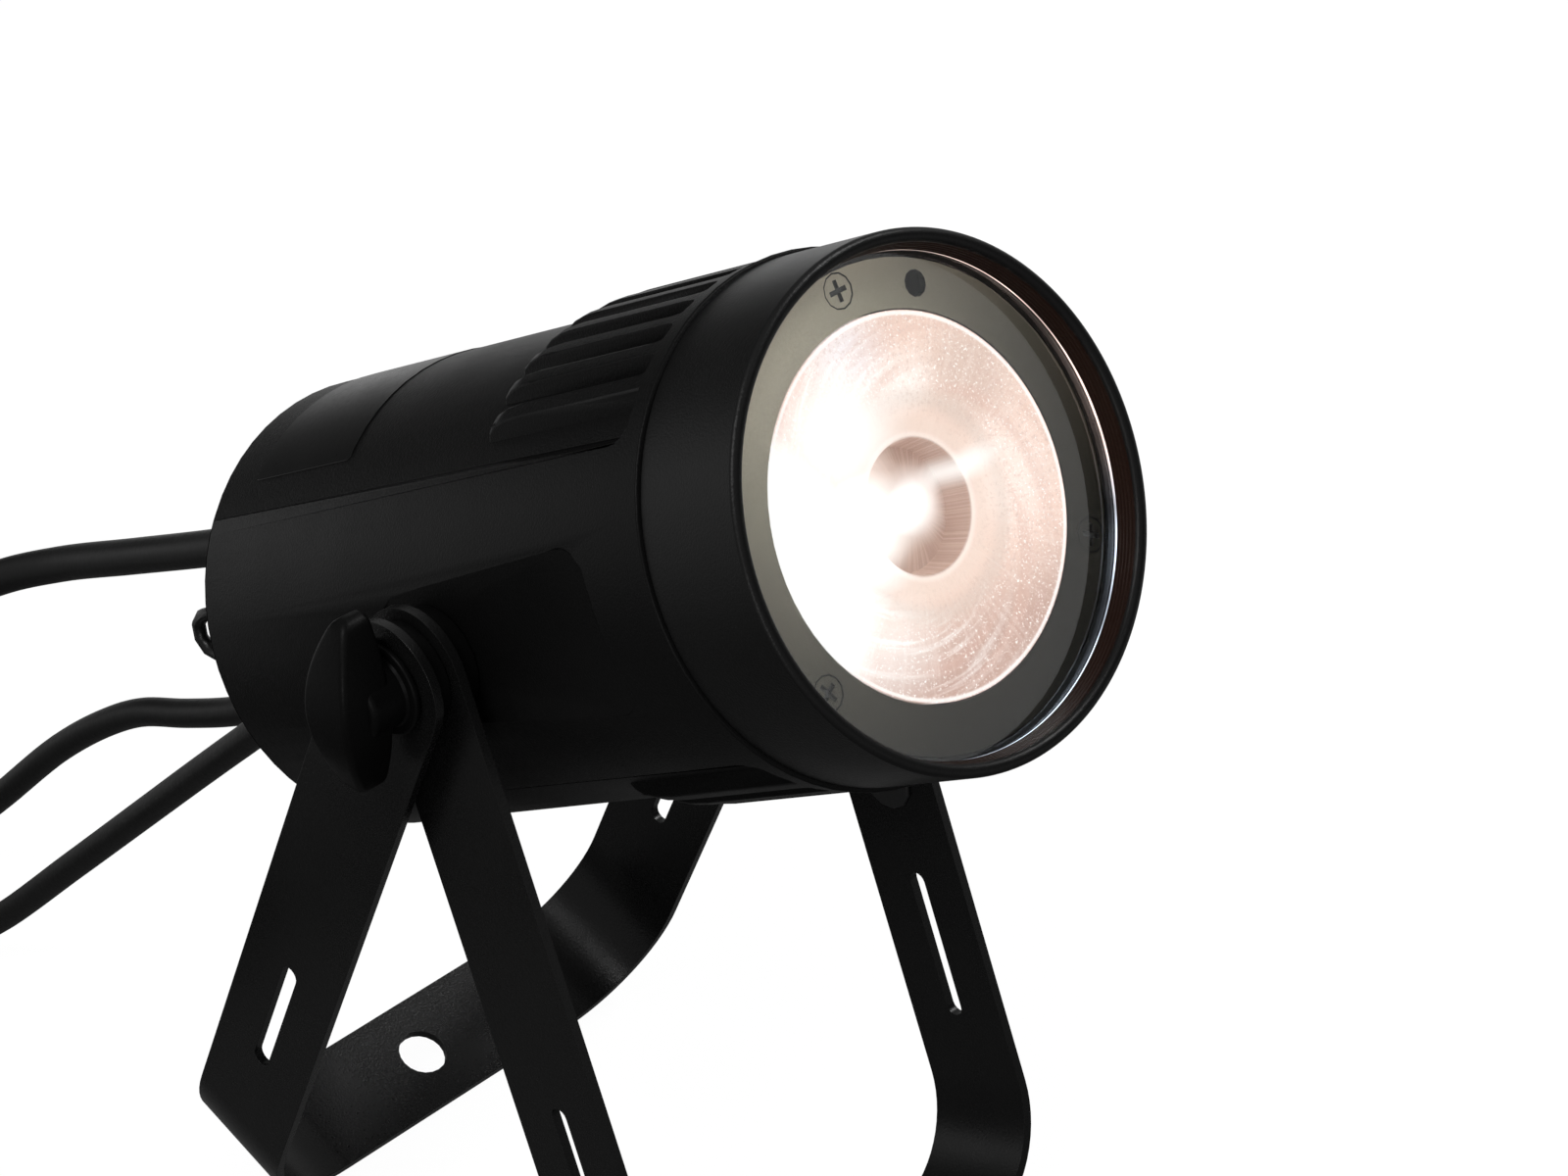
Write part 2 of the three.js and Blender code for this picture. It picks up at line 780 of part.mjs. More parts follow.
function reliefEnd(size) {
  return coverBack - gap - size.flange - size.length;
}

function roundBar(curve, r, sides, steps) {
  const section = new THREE.Shape();
  for (let i = 0; i < sides; i += 1) {
    const turn = (2 * Math.PI * (i + 0.5)) / sides;
    if (i === 0) section.moveTo(r * Math.cos(turn), r * Math.sin(turn));
    else section.lineTo(r * Math.cos(turn), r * Math.sin(turn));
  }
  return solid(new THREE.ExtrudeGeometry(section, { steps, extrudePath: curve, bevelEnabled: false }));
}

const eyeletRoot = 3;

function safetyEyelet() {
  const path = new THREE.CurvePath();
  const { x, y, half, length } = eyelet;
  const root = coverFront + eyeletRoot;
  const bend = coverBack - length + half;
  const points = [new THREE.Vector3(x, y + half, root)];
  const turns = arcSteps * 2;
  const steps = turns * 2;
  for (let i = 0; i <= turns; i += 1) {
    const turn = Math.PI * (i / turns);
    points.push(new THREE.Vector3(x, y + half * Math.cos(turn), bend - half * Math.sin(turn)));
  }
  points.push(new THREE.Vector3(x, y - half, root));
  for (let i = 1; i < points.length; i += 1) path.add(new THREE.LineCurve3(points[i - 1], points[i]));
  return roundBar(path, eyelet.barR, cordSides, steps);
}

// Label on top of the core, rear of the ribs.
const labelSetback = 13.2;
const labelLength = 34.6;
const labelRear = labelSetback - rearLength;
const labelFront = labelRear + labelLength;
const labelHalf = 28.9;
const labelCorner = 1.2;
const labelThickness = 0.22;

function labelFilm() {
  const film = tubeRing(coreR + filmGap, coreR + filmGap + labelThickness, labelRear - overrun,
    labelFront + overrun, bodySides);
  const outline = roundedRectangle(-labelHalf, labelHalf, labelRear, labelFront, labelCorner);
  return film.intersect(planPrism(outline, 0, ringR + overrun));
}

// Pivot pieces: inserts, spacers, studs and knobs.
function pivotInsert(side) {
  const from = facetX - insertDepth + gap;
  const to = facetX - gap;
  return acrossTurned([[studHoleR, from], [insertR, from], [insertR, to], [studHoleR, to]], side);
}

function spacer(from, to, side) {
  return acrossTurned([
    [pivotHoleR, from], [spacerR, from], [spacerR, to], [pivotHoleR, to],
  ], side, spacerSides);
}

const knob = {
  flangeR: 9.6, flange: 1.4, hubR: 7.4, wingRise: 3.75, tipHeight: 6.2, crown: 6,
  halfLength: 19, tipHalf: 1.8, middleHalf: 6, studCover: 1,
};
const wingBack = knobFoot + knob.wingRise;
const wingTip = wingBack + knob.tipHeight;
const wingMiddle = wingTip + knob.crown;
const studSeat = wingTip - knob.studCover;
const studDepth = 5;

function wing() {
  const plan = new THREE.Shape();
  const bulge = 2 * knob.middleHalf - knob.tipHalf;
  plan.moveTo(knob.halfLength, -knob.tipHalf);
  plan.lineTo(knob.halfLength, knob.tipHalf);
  plan.quadraticCurveTo(0, bulge, -knob.halfLength, knob.tipHalf);
  plan.lineTo(-knob.halfLength, -knob.tipHalf);
  plan.quadraticCurveTo(0, -bulge, knob.halfLength, -knob.tipHalf);
  const planSolid = frontPrism(plan, wingBack, wingMiddle + overrun);
  const side = new THREE.Shape();
  side.moveTo(-knob.halfLength - overrun, wingBack);
  side.lineTo(knob.halfLength + overrun, wingBack);
  side.lineTo(knob.halfLength + overrun, wingTip);
  side.lineTo(knob.halfLength, wingTip);
  side.quadraticCurveTo(0, 2 * wingMiddle - wingTip, -knob.halfLength, wingTip);
  side.lineTo(-knob.halfLength - overrun, wingTip);
  return planSolid.intersect(planPrism(side, -ringR, ringR));
}

// The knob is built with its wing along x and its axis along z. Turned outward, its wing stands upright.
function wingKnob(side) {
  const hub = turned([
    [0, knobFoot],
    [knob.flangeR, knobFoot],
    [knob.flangeR, knobFoot + knob.flange],
    [knob.hubR, knobFoot + knob.flange],
    [knob.hubR, wingTip - knob.flange],
    [knob.middleHalf, wingTip],
    [0, wingTip],
  ], spacerSides);
  const seat = bore(studR + gap, knobFoot - overrun, studSeat);
  return hub.add(wing()).subtract(seat).rotate([0, side * 90, 0]);
}

function stud(side) {
  const from = facetX - studDepth;
  const to = studSeat - gap;
  return acrossTurned([[0, from], [studR, from], [studR, to], [0, to]], side);
}

// Brackets: a bent strap with round leg tops, slots and holes.
function strapOutline(width, reach, bend) {
  const half = width / 2;
  const inner = bend - strapThickness;
  const shape = new THREE.Shape();
  shape.moveTo(-half, -strapWidth);
  shape.lineTo(-half, reach - bend);
  shape.absarc(-half + bend, reach - bend, bend, Math.PI, Math.PI / 2, true);
  shape.lineTo(half - bend, reach);
  shape.absarc(half - bend, reach - bend, bend, Math.PI / 2, 0, true);
  shape.lineTo(half, -strapWidth);
  shape.lineTo(half - strapThickness, -strapWidth);
  shape.lineTo(half - strapThickness, reach - bend);
  shape.absarc(half - bend, reach - bend, inner, 0, Math.PI / 2, false);
  shape.lineTo(-half + bend, reach - strapThickness);
  shape.absarc(-half + bend, reach - bend, inner, Math.PI / 2, Math.PI, false);
  shape.lineTo(-half + strapThickness, -strapWidth);
  return shape;
}

function legOutline(reach) {
  const half = strapWidth / 2;
  const shape = new THREE.Shape();
  shape.moveTo(0, -half);
  shape.lineTo(reach + overrun, -half);
  shape.lineTo(reach + overrun, half);
  shape.lineTo(0, half);
  shape.absarc(0, 0, half, Math.PI / 2, Math.PI * 1.5, false);
  return shape;
}

function slotOutline() {
  const r = slotWidth / 2;
  const shape = new THREE.Shape();
  shape.moveTo(slotStart + r, -r);
  shape.lineTo(slotEnd - r, -r);
  shape.absarc(slotEnd - r, 0, r, -Math.PI / 2, Math.PI / 2, false);
  shape.lineTo(slotStart + r, r);
  shape.absarc(slotStart + r, 0, r, Math.PI / 2, Math.PI * 1.5, false);
  return shape;
}

const strapArcSteps = 8;
const legTopSteps = 12;

function bracket(width, reach, bend) {
  const strapBody = solid(new THREE.ExtrudeGeometry(strapOutline(width, reach, bend), {
    depth: strapWidth, bevelEnabled: false, curveSegments: strapArcSteps,
  }).rotateX(Math.PI / 2).translate(0, strapWidth / 2, 0));
  const legs = solid(new THREE.ExtrudeGeometry(legOutline(reach), {
    depth: width + 2 * overrun, bevelEnabled: false, curveSegments: legTopSteps,
  }).rotateY(-Math.PI / 2).translate(width / 2 + overrun, 0, 0));
  const across = width / 2 + overrun;
  const pivotHole = turned([
    [0, -across], [pivotHoleR, -across], [pivotHoleR, across], [0, across],
  ]).rotate([0, 90, 0]);
  const mountHole = bore(mountHoleR, reach - bend, reach + overrun, spacerSides);
  const slots = sidePrism(slotOutline(), -across, across);
  return without(strapBody.intersect(legs), [pivotHole, slots, mountHole]);
}

const padR = 6.4;
const padThickness = 0.85;
const padDown = 72.3;
const padEdge = 0.3;

function bracketPad(side) {
  const outer = innerLegIn;
  return acrossTurned([
    [0, outer - padThickness], [padR - padEdge, outer - padThickness],
    [padR, outer - padThickness + padEdge], [padR, outer], [0, outer],
  ], side).translate([0, 0, padDown]);
}

// Cords. Routes are points chosen by hand, in the stand's frame before it is centred.
const mainsR = 4.2;
const dataR = 3.4;
const cordSides = 8;
const mainsSteps = 22;
const dataSteps = 20;

const mainsRoute = [
  [-2, 131, 121.6], [-2.8, 158.2, 110.3], [-5, 183.6, 100.2], [-11, 199.7, 93.6], [-20, 215, 84.5],
  [-33, 229, 69], [-50, 238, 51], [-68, 242, 31.5], [-85, 241.5, 14], [-96.5, 239.4, 7.4],
];
const dataRouteA = [
  [-3.1, 104, 93], [-3.3, 127.3, 81.1], [-4, 143.9, 74.5], [-5, 159.9, 69], [-6.5, 173, 61.6],
  [-9, 189.3, 49.5], [-13, 212.1, 28.3], [-15, 222, 19.5], [-17, 233, 11.5], [-21, 245, 6],
  [-28, 257, 3.9], [-39, 267.5, 3.7], [-55, 275.5, 3.7], [-71, 275.5, 4],
];
const dataRouteB = [
  [-27.3, 91.7, 99.4], [-28.5, 109.5, 83.8], [-30, 127.7, 67.6], [-32.5, 156.1, 42.3],
  [-36, 185, 16.7], [-38.5, 196, 9], [-41, 207, 5.2], [-45, 219, 3.8], [-53, 234, 3.7],
  [-67, 247, 3.7], [-84, 253.5, 3.7], [-98, 253.5, 4],
];

function cordTube(points, r, steps) {
  const places = points.map((p) => new THREE.Vector3(...p));
  const curve = new THREE.CatmullRomCurve3(places, false, 'centripetal');
  return roundBar(curve, r, cordSides, steps);
}

// A round coil in two layers: it spirals in on the floor, climbs at its inmost half turn and spirals
// out again on top. Both ends run straight for one diameter.
const coilCentre = { x: -121, y: 187 };
const coilTurns = 1.375;
const coilOuterR = 50.5;
const coilGap = 0.6;
const coilSideGap = 2.1;
const layerHeight = 2 * mainsR + coilGap;
const coilPitch = 2 * mainsR + coilSideGap;
const coilFirstAngle = 90;
const loopSteps = 24;
const loopSides = 6;

class TwoLayerCoil extends THREE.Curve {
  getPoint(t) {
    const straight = 2 * mainsR;
    const firstArc = coilTurns * 2 * Math.PI * coilOuterR;
    const total = 2 * firstArc + Math.PI * coilOuterR + 2 * straight;
    const along = t * total - straight;
    const arc = total - 2 * straight;
    const held = THREE.MathUtils.clamp(along, 0, arc);
    const turns = held / (2 * Math.PI * coilOuterR);
    const wholeTurns = 2 * coilTurns + 0.5;
    const inward = Math.min(turns, coilTurns, wholeTurns - turns);
    const climb = THREE.MathUtils.clamp((turns - coilTurns) / 0.5, 0, 1);
    const r = coilOuterR - coilPitch * Math.max(inward, 0);
    const angle = rad(coilFirstAngle) + turns * 2 * Math.PI;
    const rise = (1 - Math.cos(Math.PI * climb)) / 2;
    const point = new THREE.Vector3(
      coilCentre.x + r * Math.cos(angle), coilCentre.y + r * Math.sin(angle),
      mainsR + layerHeight * rise,
    );
    const past = along - held;
    point.x -= past * Math.sin(angle);
    point.y += past * Math.cos(angle);
    return point;
  }
}

const coilCurve = new TwoLayerCoil();

function leastGapToItself(curve, radius) {
  const samples = loopSteps * 6;
  const points = curve.getSpacedPoints(samples);
  const apart = Math.ceil((samples * 3 * radius) / curve.getLength()) + 1;
  let least = Infinity;
  for (let i = 0; i < points.length; i += 1) {
    for (let j = i + apart; j < points.length; j += 1) {
      least = Math.min(least, points[i].distanceTo(points[j]) - 2 * radius);
    }
  }
  return least;
}

console.log('mains_coil least gap to itself, mm:', leastGapToItself(coilCurve, mainsR).toFixed(2));

// The plug: a round earthed body with a bend-saving tail and two pins.
const plug = { r: 18.5, body: 26, tail: 24, tailR: 5.6, neckR: 9, pinR: 2.4, pinLength: 19, pinHalf: 9.5 };

function plugBody() {
  return turned([
    [0, 0], [plug.tailR, 0], [plug.neckR, plug.tail], [plug.r, plug.tail + plug.neckR / 2],
    [plug.r, plug.tail + plug.body], [0, plug.tail + plug.body],
  ], spacerSides);
}

function plugPin() {
  const start = plug.tail + plug.body + filmGap;
  return disc(plug.pinR, start, start + plug.pinLength, tinySides);
}

const connector = { r: 9.5, shell: 44, tail: 17, tailR: 4.4, neckR: 7.6, socketDepth: 14, wall: 1.4 };

function dataConnector(hollow) {
  const end = connector.tail + connector.shell;
  const body = turned([
    [0, 0], [connector.tailR, 0], [connector.neckR, connector.tail], [connector.r, connector.tail],
    [connector.r, end], [0, end],
  ], spacerSides);
  const mouth = hollow
    ? disc(connector.r - connector.wall, end - connector.socketDepth, end + overrun, spacerSides)
    : tubeRing(connector.r - 2 * connector.wall, connector.r - connector.wall, end - connector.socketDepth,
      end + overrun, spacerSides);
  return body.subtract(mouth);
}

// A piece at the end of a cord: its own z axis is turned to the cord's direction.
function atCordEnd(group, point, direction) {
  const holder = new THREE.Group();
  holder.position.copy(point);
  holder.quaternion.setFromUnitVectors(new THREE.Vector3(0, 0, 1), direction.clone().normalize());
  group.add(holder);
  return holder;
}

// Assembly. The pivot stands at the height at which the leaning outer strap's edge meets the floor,
// and the inner strap leans until its edge is at the same level.
const half = strapWidth / 2;
const pivotHeight = outerReach * Math.cos(rad(outerLean)) + half * Math.sin(rad(outerLean));
const innerLean = THREE.MathUtils.radToDeg(
  Math.atan(half / innerReach) + Math.acos(pivotHeight / Math.hypot(innerReach, half)),
);

const assembly = new THREE.Group();
const stand = new THREE.Group();
assembly.add(stand);

function pivotGroup(degrees) {
  const group = new THREE.Group();
  group.position.set(0, 0, pivotHeight);
  group.rotation.x = rad(degrees);
  stand.add(group);
  return group;
}

const outerGroup = pivotGroup(180 + outerLean);
addMesh(outerGroup, 'outer_bracket', bracket(2 * outerLegOut, outerReach, outerBend), 'steelPaint');
const innerGroup = pivotGroup(180 - innerLean);
addMesh(innerGroup, 'inner_bracket', bracket(2 * innerLegOut, innerReach, innerBend), 'steelPaint');

const knobGroup = pivotGroup(0);
for (const [name, side] of [['left', -1], ['right', 1]]) {
  addMesh(innerGroup, `bracket_pad_${name}`, bracketPad(side), 'rubber');
  addMesh(outerGroup, `leg_spacer_${name}`, spacer(innerLegOut + gap, outerLegIn, side), 'blackPlastic');
  addMesh(knobGroup, `knob_${name}`, wingKnob(side), 'blackPlastic');
  addMesh(knobGroup, `knob_stud_${name}`, stud(side), 'steel');
}

const lamp = pivotGroup(90 - lampTilt);
addMesh(lamp, 'housing', housing(), 'casting');
addMesh(lamp, 'front_ring', frontRing(), 'casting');
addMesh(lamp, 'front_glass', frontGlass(), 'glass');
addMesh(lamp, 'glass_seal', glassSeal(), 'rubber');
addMesh(lamp, 'lens_plate', lensPlate(), 'plate');
addMesh(lamp, 'lens', lens(), 'lens');
addMesh(lamp, 'lens_holder', lensHolder(), 'blackPlastic');
addMesh(lamp, 'led_board', disc(boardR, boardBack, boardFront, innerSides), 'board');
addMesh(lamp, 'led_emitter', ledEmitter(), 'emitter');
addMesh(lamp, 'heat_spreader', spreader(), 'aluminium');
addMesh(lamp, 'power_board', boardPlate(powerBoardHeight, powerBoardLength), 'board');
addMesh(lamp, 'power_transformer', powerTransformer(), 'emitter');
addMesh(lamp, 'power_capacitor', powerCapacitor(), 'blackPlastic');
addMesh(lamp, 'driver_board', boardPlate(driverBoardHeight, driverBoardLength), 'board');
addMesh(lamp, 'driver_coil', driverCoil(), 'brass');
addMesh(lamp, 'rear_cover', rearCover(), 'casting');
addMesh(lamp, 'display_window', displayWindow(), 'display');
addMesh(lamp, 'safety_eyelet', safetyEyelet(), 'steelPaint');
addMesh(lamp, 'mains_strain_relief', strainRelief(mainsRelief, mainsExit), 'rubber');
addMesh(lamp, 'data_strain_relief_a', strainRelief(dataRelief, dataExitA), 'rubber');
addMesh(lamp, 'data_strain_relief_b', strainRelief(shortDataRelief, dataExitB), 'rubber');
addMesh(lamp, 'label', labelFilm(), 'label');
plateScrewAngles.forEach((angle, i) => {
  const screw = plateScrew().rotate([0, 0, angle]).translate([...onCircle(plateScrewCircle, angle), 0]);
  addMesh(lamp, `plate_screw_${i + 1}`, screw, 'blackScrew');
});
coverScrewAngles.forEach((angle, i) => {
  addMesh(lamp, `cover_screw_${i + 1}`, coverScrew(angle), 'blackScrew');
});
for (let i = 0; i < buttonCount; i += 1) addMesh(lamp, `button_${i + 1}`, pushButton(i), 'rubber');
for (const [name, side] of [['left', -1], ['right', 1]]) {
  addMesh(lamp, `pivot_insert_${name}`, pivotInsert(side), 'brass');
  addMesh(lamp, `body_spacer_${name}`, spacer(facetX + gap, innerLegIn - gap, side), 'blackPlastic');
}

// The origin is the middle of the object's box, at the floor, without its cords.
stand.updateMatrixWorld(true);
const reliefNames = ['mains_strain_relief', 'data_strain_relief_a', 'data_strain_relief_b'];
const extent = new THREE.Box3();
stand.traverse((item) => {
  if (item.isMesh && !reliefNames.includes(item.name)) extent.expandByObject(item, true);
});
const middle = extent.getCenter(new THREE.Vector3());
const shift = new THREE.Vector3(-middle.x, -middle.y, -extent.min.z);

// Where a cord starts: just behind its strain relief, in the stand's frame.
function cordStart(size, exit) {
  const points = [reliefEnd(size) - gap, reliefEnd(size) - gap - 2 * size.tipR].map(
    (s) => lamp.localToWorld(new THREE.Vector3(exit.x, exit.y, s)).toArray(),
  );
  return points;
}

const cords = new THREE.Group();
assembly.add(cords);

const coilStart = coilCurve.getPoint(0);
const coilStartAxis = coilCurve.getTangent(0);
const coilEnd = coilCurve.getPoint(1);
const coilEndAxis = coilCurve.getTangent(1);

function beyond(point, axis, distance) {
  return point.clone().addScaledVector(axis, distance);
}

const mainsPoints = [
  ...cordStart(mainsRelief, mainsExit), ...mainsRoute,
  beyond(coilStart, coilStartAxis, -2 * mainsR - gap).toArray(),
  beyond(coilStart, coilStartAxis, -gap).toArray(),
];
addMesh(cords, 'mains_cord', cordTube(mainsPoints, mainsR, mainsSteps), 'cable');
const coilSteps = Math.round((2 * coilTurns + 1) * loopSteps);
addMesh(cords, 'mains_coil', roundBar(coilCurve, mainsR, loopSides, coilSteps), 'cable');

// The tail from the coil to the plug, which lies on the floor beside the coil.
const tailLength = 40;
const tailStart = beyond(coilEnd, coilEndAxis, gap);
const tailEnd = beyond(coilEnd, coilEndAxis, tailLength);
tailEnd.z = plug.r;
const tailPoints = [
  tailStart, beyond(tailStart, coilEndAxis, 2 * mainsR),
  beyond(tailEnd, coilEndAxis, -2 * mainsR), tailEnd,
];
addMesh(cords, 'mains_cord_end', cordTube(tailPoints.map((p) => p.toArray()), mainsR, tinySides), 'cable');
const plugHolder = atCordEnd(cords, beyond(tailEnd, coilEndAxis, gap), coilEndAxis);
addMesh(plugHolder, 'mains_plug', plugBody(), 'rubber');
addMesh(plugHolder, 'plug_pin_1', plugPin().translate([0, plug.pinHalf, 0]), 'brass');
addMesh(plugHolder, 'plug_pin_2', plugPin().translate([0, -plug.pinHalf, 0]), 'brass');

const tie = { width: 9, thickness: 1.2, angle: 270, room: 0.8 };

function coilTie() {
  const bundleIn = coilOuterR - coilPitch * coilTurns - mainsR - tie.room;
  const bundleOut = coilOuterR - coilPitch / 2 + mainsR + tie.room;
  const top = 2 * mainsR + layerHeight + gap;
  const outer = box(bundleIn - tie.thickness, bundleOut + tie.thickness, -tie.width / 2, tie.width / 2,
    0, top + tie.thickness);
  const inner = box(bundleIn, bundleOut, -tie.width, tie.width, -overrun, top);
  return outer.subtract(inner).rotate([0, 0, tie.angle]).translate([coilCentre.x, coilCentre.y, 0]);
}
addMesh(cords, 'mains_tie', coilTie(), 'rubber');

for (const [name, route, size, exit, hollow] of [
  ['a', dataRouteA, dataRelief, dataExitA, true], ['b', dataRouteB, shortDataRelief, dataExitB, false],
]) {
  const last = route[route.length - 1];
  const before = route[route.length - 2];
  const heading = new THREE.Vector3(last[0] - before[0], last[1] - before[1], 0).normalize();
  const end = new THREE.Vector3(...last).addScaledVector(heading, 5 * dataR);
  end.z = connector.r;
  const points = [...cordStart(size, exit), ...route, end.toArray()];
  const finish = beyond(end, heading, 2 * dataR);
  points.push(finish.toArray());
  addMesh(cords, `data_cord_${name}`, cordTube(points, dataR, dataSteps), 'cable');
  const holder = atCordEnd(cords, beyond(finish, heading, gap), heading);
  addMesh(holder, `data_connector_${name}`, dataConnector(hollow), 'steel');
}

assembly.children.forEach((group) => group.position.copy(shift));

export default assembly;
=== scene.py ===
"""A round pinspot light that tilts between two bent straps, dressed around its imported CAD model."""

import json
import math

import bmesh
import bpy
from mathutils import Matrix, Vector


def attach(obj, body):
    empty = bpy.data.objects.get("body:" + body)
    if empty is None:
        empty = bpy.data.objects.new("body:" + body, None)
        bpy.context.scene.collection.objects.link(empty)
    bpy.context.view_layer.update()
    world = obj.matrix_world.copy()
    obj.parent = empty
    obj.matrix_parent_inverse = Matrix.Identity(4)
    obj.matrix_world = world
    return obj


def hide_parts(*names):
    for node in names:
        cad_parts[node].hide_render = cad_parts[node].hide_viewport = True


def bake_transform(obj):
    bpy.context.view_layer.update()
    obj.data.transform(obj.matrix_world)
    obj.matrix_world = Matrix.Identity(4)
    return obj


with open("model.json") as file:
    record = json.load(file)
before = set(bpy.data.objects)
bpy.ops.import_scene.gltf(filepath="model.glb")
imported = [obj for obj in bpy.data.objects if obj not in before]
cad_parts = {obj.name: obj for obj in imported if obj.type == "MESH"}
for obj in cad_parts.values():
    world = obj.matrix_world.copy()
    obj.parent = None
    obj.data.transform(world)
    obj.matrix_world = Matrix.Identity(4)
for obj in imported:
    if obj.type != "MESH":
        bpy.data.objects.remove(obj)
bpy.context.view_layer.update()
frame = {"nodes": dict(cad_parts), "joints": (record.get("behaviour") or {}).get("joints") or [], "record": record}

MM = 0.001

# Frames. Places on the lamp are [across, up, forward] from the pivot, in millimetres.
PIVOT = Vector(next(j for j in frame["joints"] if j["name"] == "lamp_tilt")["pos_m"])
LAMP_TILT = 26.32
LAMP = Matrix.Translation(PIVOT) @ Matrix.Rotation(math.radians(90 - LAMP_TILT), 4, "X")
INTO_LAMP = LAMP.inverted()
SHIFT = Vector((0, PIVOT.y, 0))

# Driving dimensions of the lamp, in millimetres.
SEAM = 73.3
SEAM_SHOWN = 0.25
RING_FRONT = 99.75
RING_R = 50
GLASS_FRONT = 94
GLASS_BACK = 91.5
GLASS_R = 47.9
LIP_R = 46.5
RIM_R = 47.3
RIM_ROUND = 1.1
RING_BORE_R = 48.2
PLATE_FRONT = 91.2
COVER_BACK = -76.2
COVER_DEPTH = 2.8
GAP = 0.3


def lamp_point(x, y, s):
    """A place on the lamp, in the row frame."""
    return LAMP @ Vector((x * MM, y * MM, s * MM))


# Camera: the photograph's place and framing.

CAMERA_FROM_PIVOT = Vector((-0.487176, -0.526219, 0.406233))
CAMERA_RIGHT = Vector((0.68160797, -0.73025759, -0.04619984))
CAMERA_UP = Vector((0.39380168, 0.31288635, 0.86430456))
CAMERA_LENS = 95.436
CAMERA_SENSOR = 36
CAMERA_CLIP = (0.01, 100)


def make_camera():
    data = bpy.data.cameras.new("camera")
    data.lens = CAMERA_LENS
    data.sensor_width = CAMERA_SENSOR
    data.sensor_fit = "HORIZONTAL"
    data.dof.use_dof = False
    data.clip_start, data.clip_end = CAMERA_CLIP
    camera = bpy.data.objects.new("camera", data)
    bpy.context.scene.collection.objects.link(camera)
    back = CAMERA_RIGHT.cross(CAMERA_UP)
    turn = Matrix((CAMERA_RIGHT, CAMERA_UP, back)).transposed().to_4x4()
    camera.matrix_world = Matrix.Translation(PIVOT + CAMERA_FROM_PIVOT) @ turn
    bpy.context.scene.camera = camera


# Materials.


class Nodes:
    """Short calls for a node tree."""

    def __init__(self, tree):
        self.tree = tree

    def node(self, kind, settings=None, **inputs):
        made = self.tree.nodes.new("ShaderNode" + kind)
        for name, value in (settings or {}).items():
            setattr(made, name, value)
        for name, value in inputs.items():
            self.feed(made.inputs[name.replace("_", " ")], value)
        return made

    def feed(self, socket, value):
        if isinstance(value, bpy.types.NodeSocket):
            self.tree.links.new(value, socket)
        else:
            socket.default_value = value

    def math(self, operation, a, b=0.0):
        made = self.node("Math", {"operation": operation})
        self.feed(made.inputs[0], a)
        self.feed(made.inputs[1], b)
        return made.outputs["Value"]

    def times(self, a, b):
        return self.math("MULTIPLY", a, b)

    def plus(self, a, b):
        return self.math("ADD", a, b)

    def top(self, a, b):
        return self.math("MAXIMUM", a, b)

    def remap(self, value, low, high, to_low, to_high, kind="LINEAR"):
        made = self.node("MapRange", {"interpolation_type": kind}, Value=value, From_Min=low, From_Max=high)
        self.feed(made.inputs["To Min"], to_low)
        self.feed(made.inputs["To Max"], to_high)
        return made.outputs["Result"]

    def smooth(self, value, start, full, low=0.0, high=1.0):
        return self.remap(value, start, full, low, high, "SMOOTHSTEP")


class Shader(Nodes):
    """A node material around one Principled BSDF, in object coordinates, which are the row frame's metres."""

    def __init__(self, name, **sockets):
        self.material = bpy.data.materials.new(name)
        self.material.use_nodes = True
        super().__init__(self.material.node_tree)
        self.base = self.tree.nodes["Principled BSDF"]
        self.coordinates = self.tree.nodes.new("ShaderNodeTexCoord").outputs["Object"]
        for socket, value in sockets.items():
            self.base.inputs[socket.replace("_", " ")].default_value = value

    def noise(self, scale, detail=2.0, roughness=0.5):
        inputs = {"Scale": scale, "Detail": detail, "Roughness": roughness, "Vector": self.coordinates}
        return self.node("TexNoise", **inputs).outputs["Fac"]

    def blend(self, share, a, b, kind="MIX"):
        made = self.node("Mix", {"data_type": "RGBA", "blend_type": kind})
        self.feed(made.inputs["Factor"], share)
        self.feed(made.inputs["A"], a)
        self.feed(made.inputs["B"], b)
        return made.outputs["Result"]

    def bump(self, height, depth):
        return self.node("Bump", Height=height, Distance=depth).outputs["Normal"]

    def set(self, socket, value):
        self.feed(self.base.inputs[socket], value)


def grey(level):
    return (level, level, level, 1)


def toned(color, share):
    return tuple(min(1.0, c * share) for c in color[:3]) + (1,)


# Paint's tone changes slowly. Its gloss follows that and the grain, over the middle span of their noise.
TONE_SCALE = 34
TONE_SHARE = 0.6
NOISE_SPAN = (0.3, 0.7)


def coated(name, color, roughness, grain, depth, specular=0.5, spread=0.06, tone=0.25, metallic=0.0):
    """Paint, plastic or metal: fine grain in its bump, uneven gloss and slow changes of tone."""
    shader = Shader(name, Specular_IOR_Level=specular, Metallic=metallic)
    slow = shader.noise(TONE_SCALE, 3)
    fine = shader.noise(grain, 2, 0.6)
    shader.set("Base Color", shader.blend(slow, toned(color, 1 - tone), toned(color, 1 + tone)))
    uneven = shader.plus(shader.times(slow, TONE_SHARE), shader.times(fine, 1 - TONE_SHARE))
    shader.set("Roughness", shader.remap(uneven, *NOISE_SPAN, roughness - spread, roughness + spread))
    shader.set("Normal", shader.bump(fine, depth))
    return shader.material


SMEAR_SCALE = 60
SMEAR_SPAN = (0.5, 0.8)
SMEAR_ROUGHNESS = 0.04
SMEAR_TINT = (0.97, 0.985, 0.975, 1)


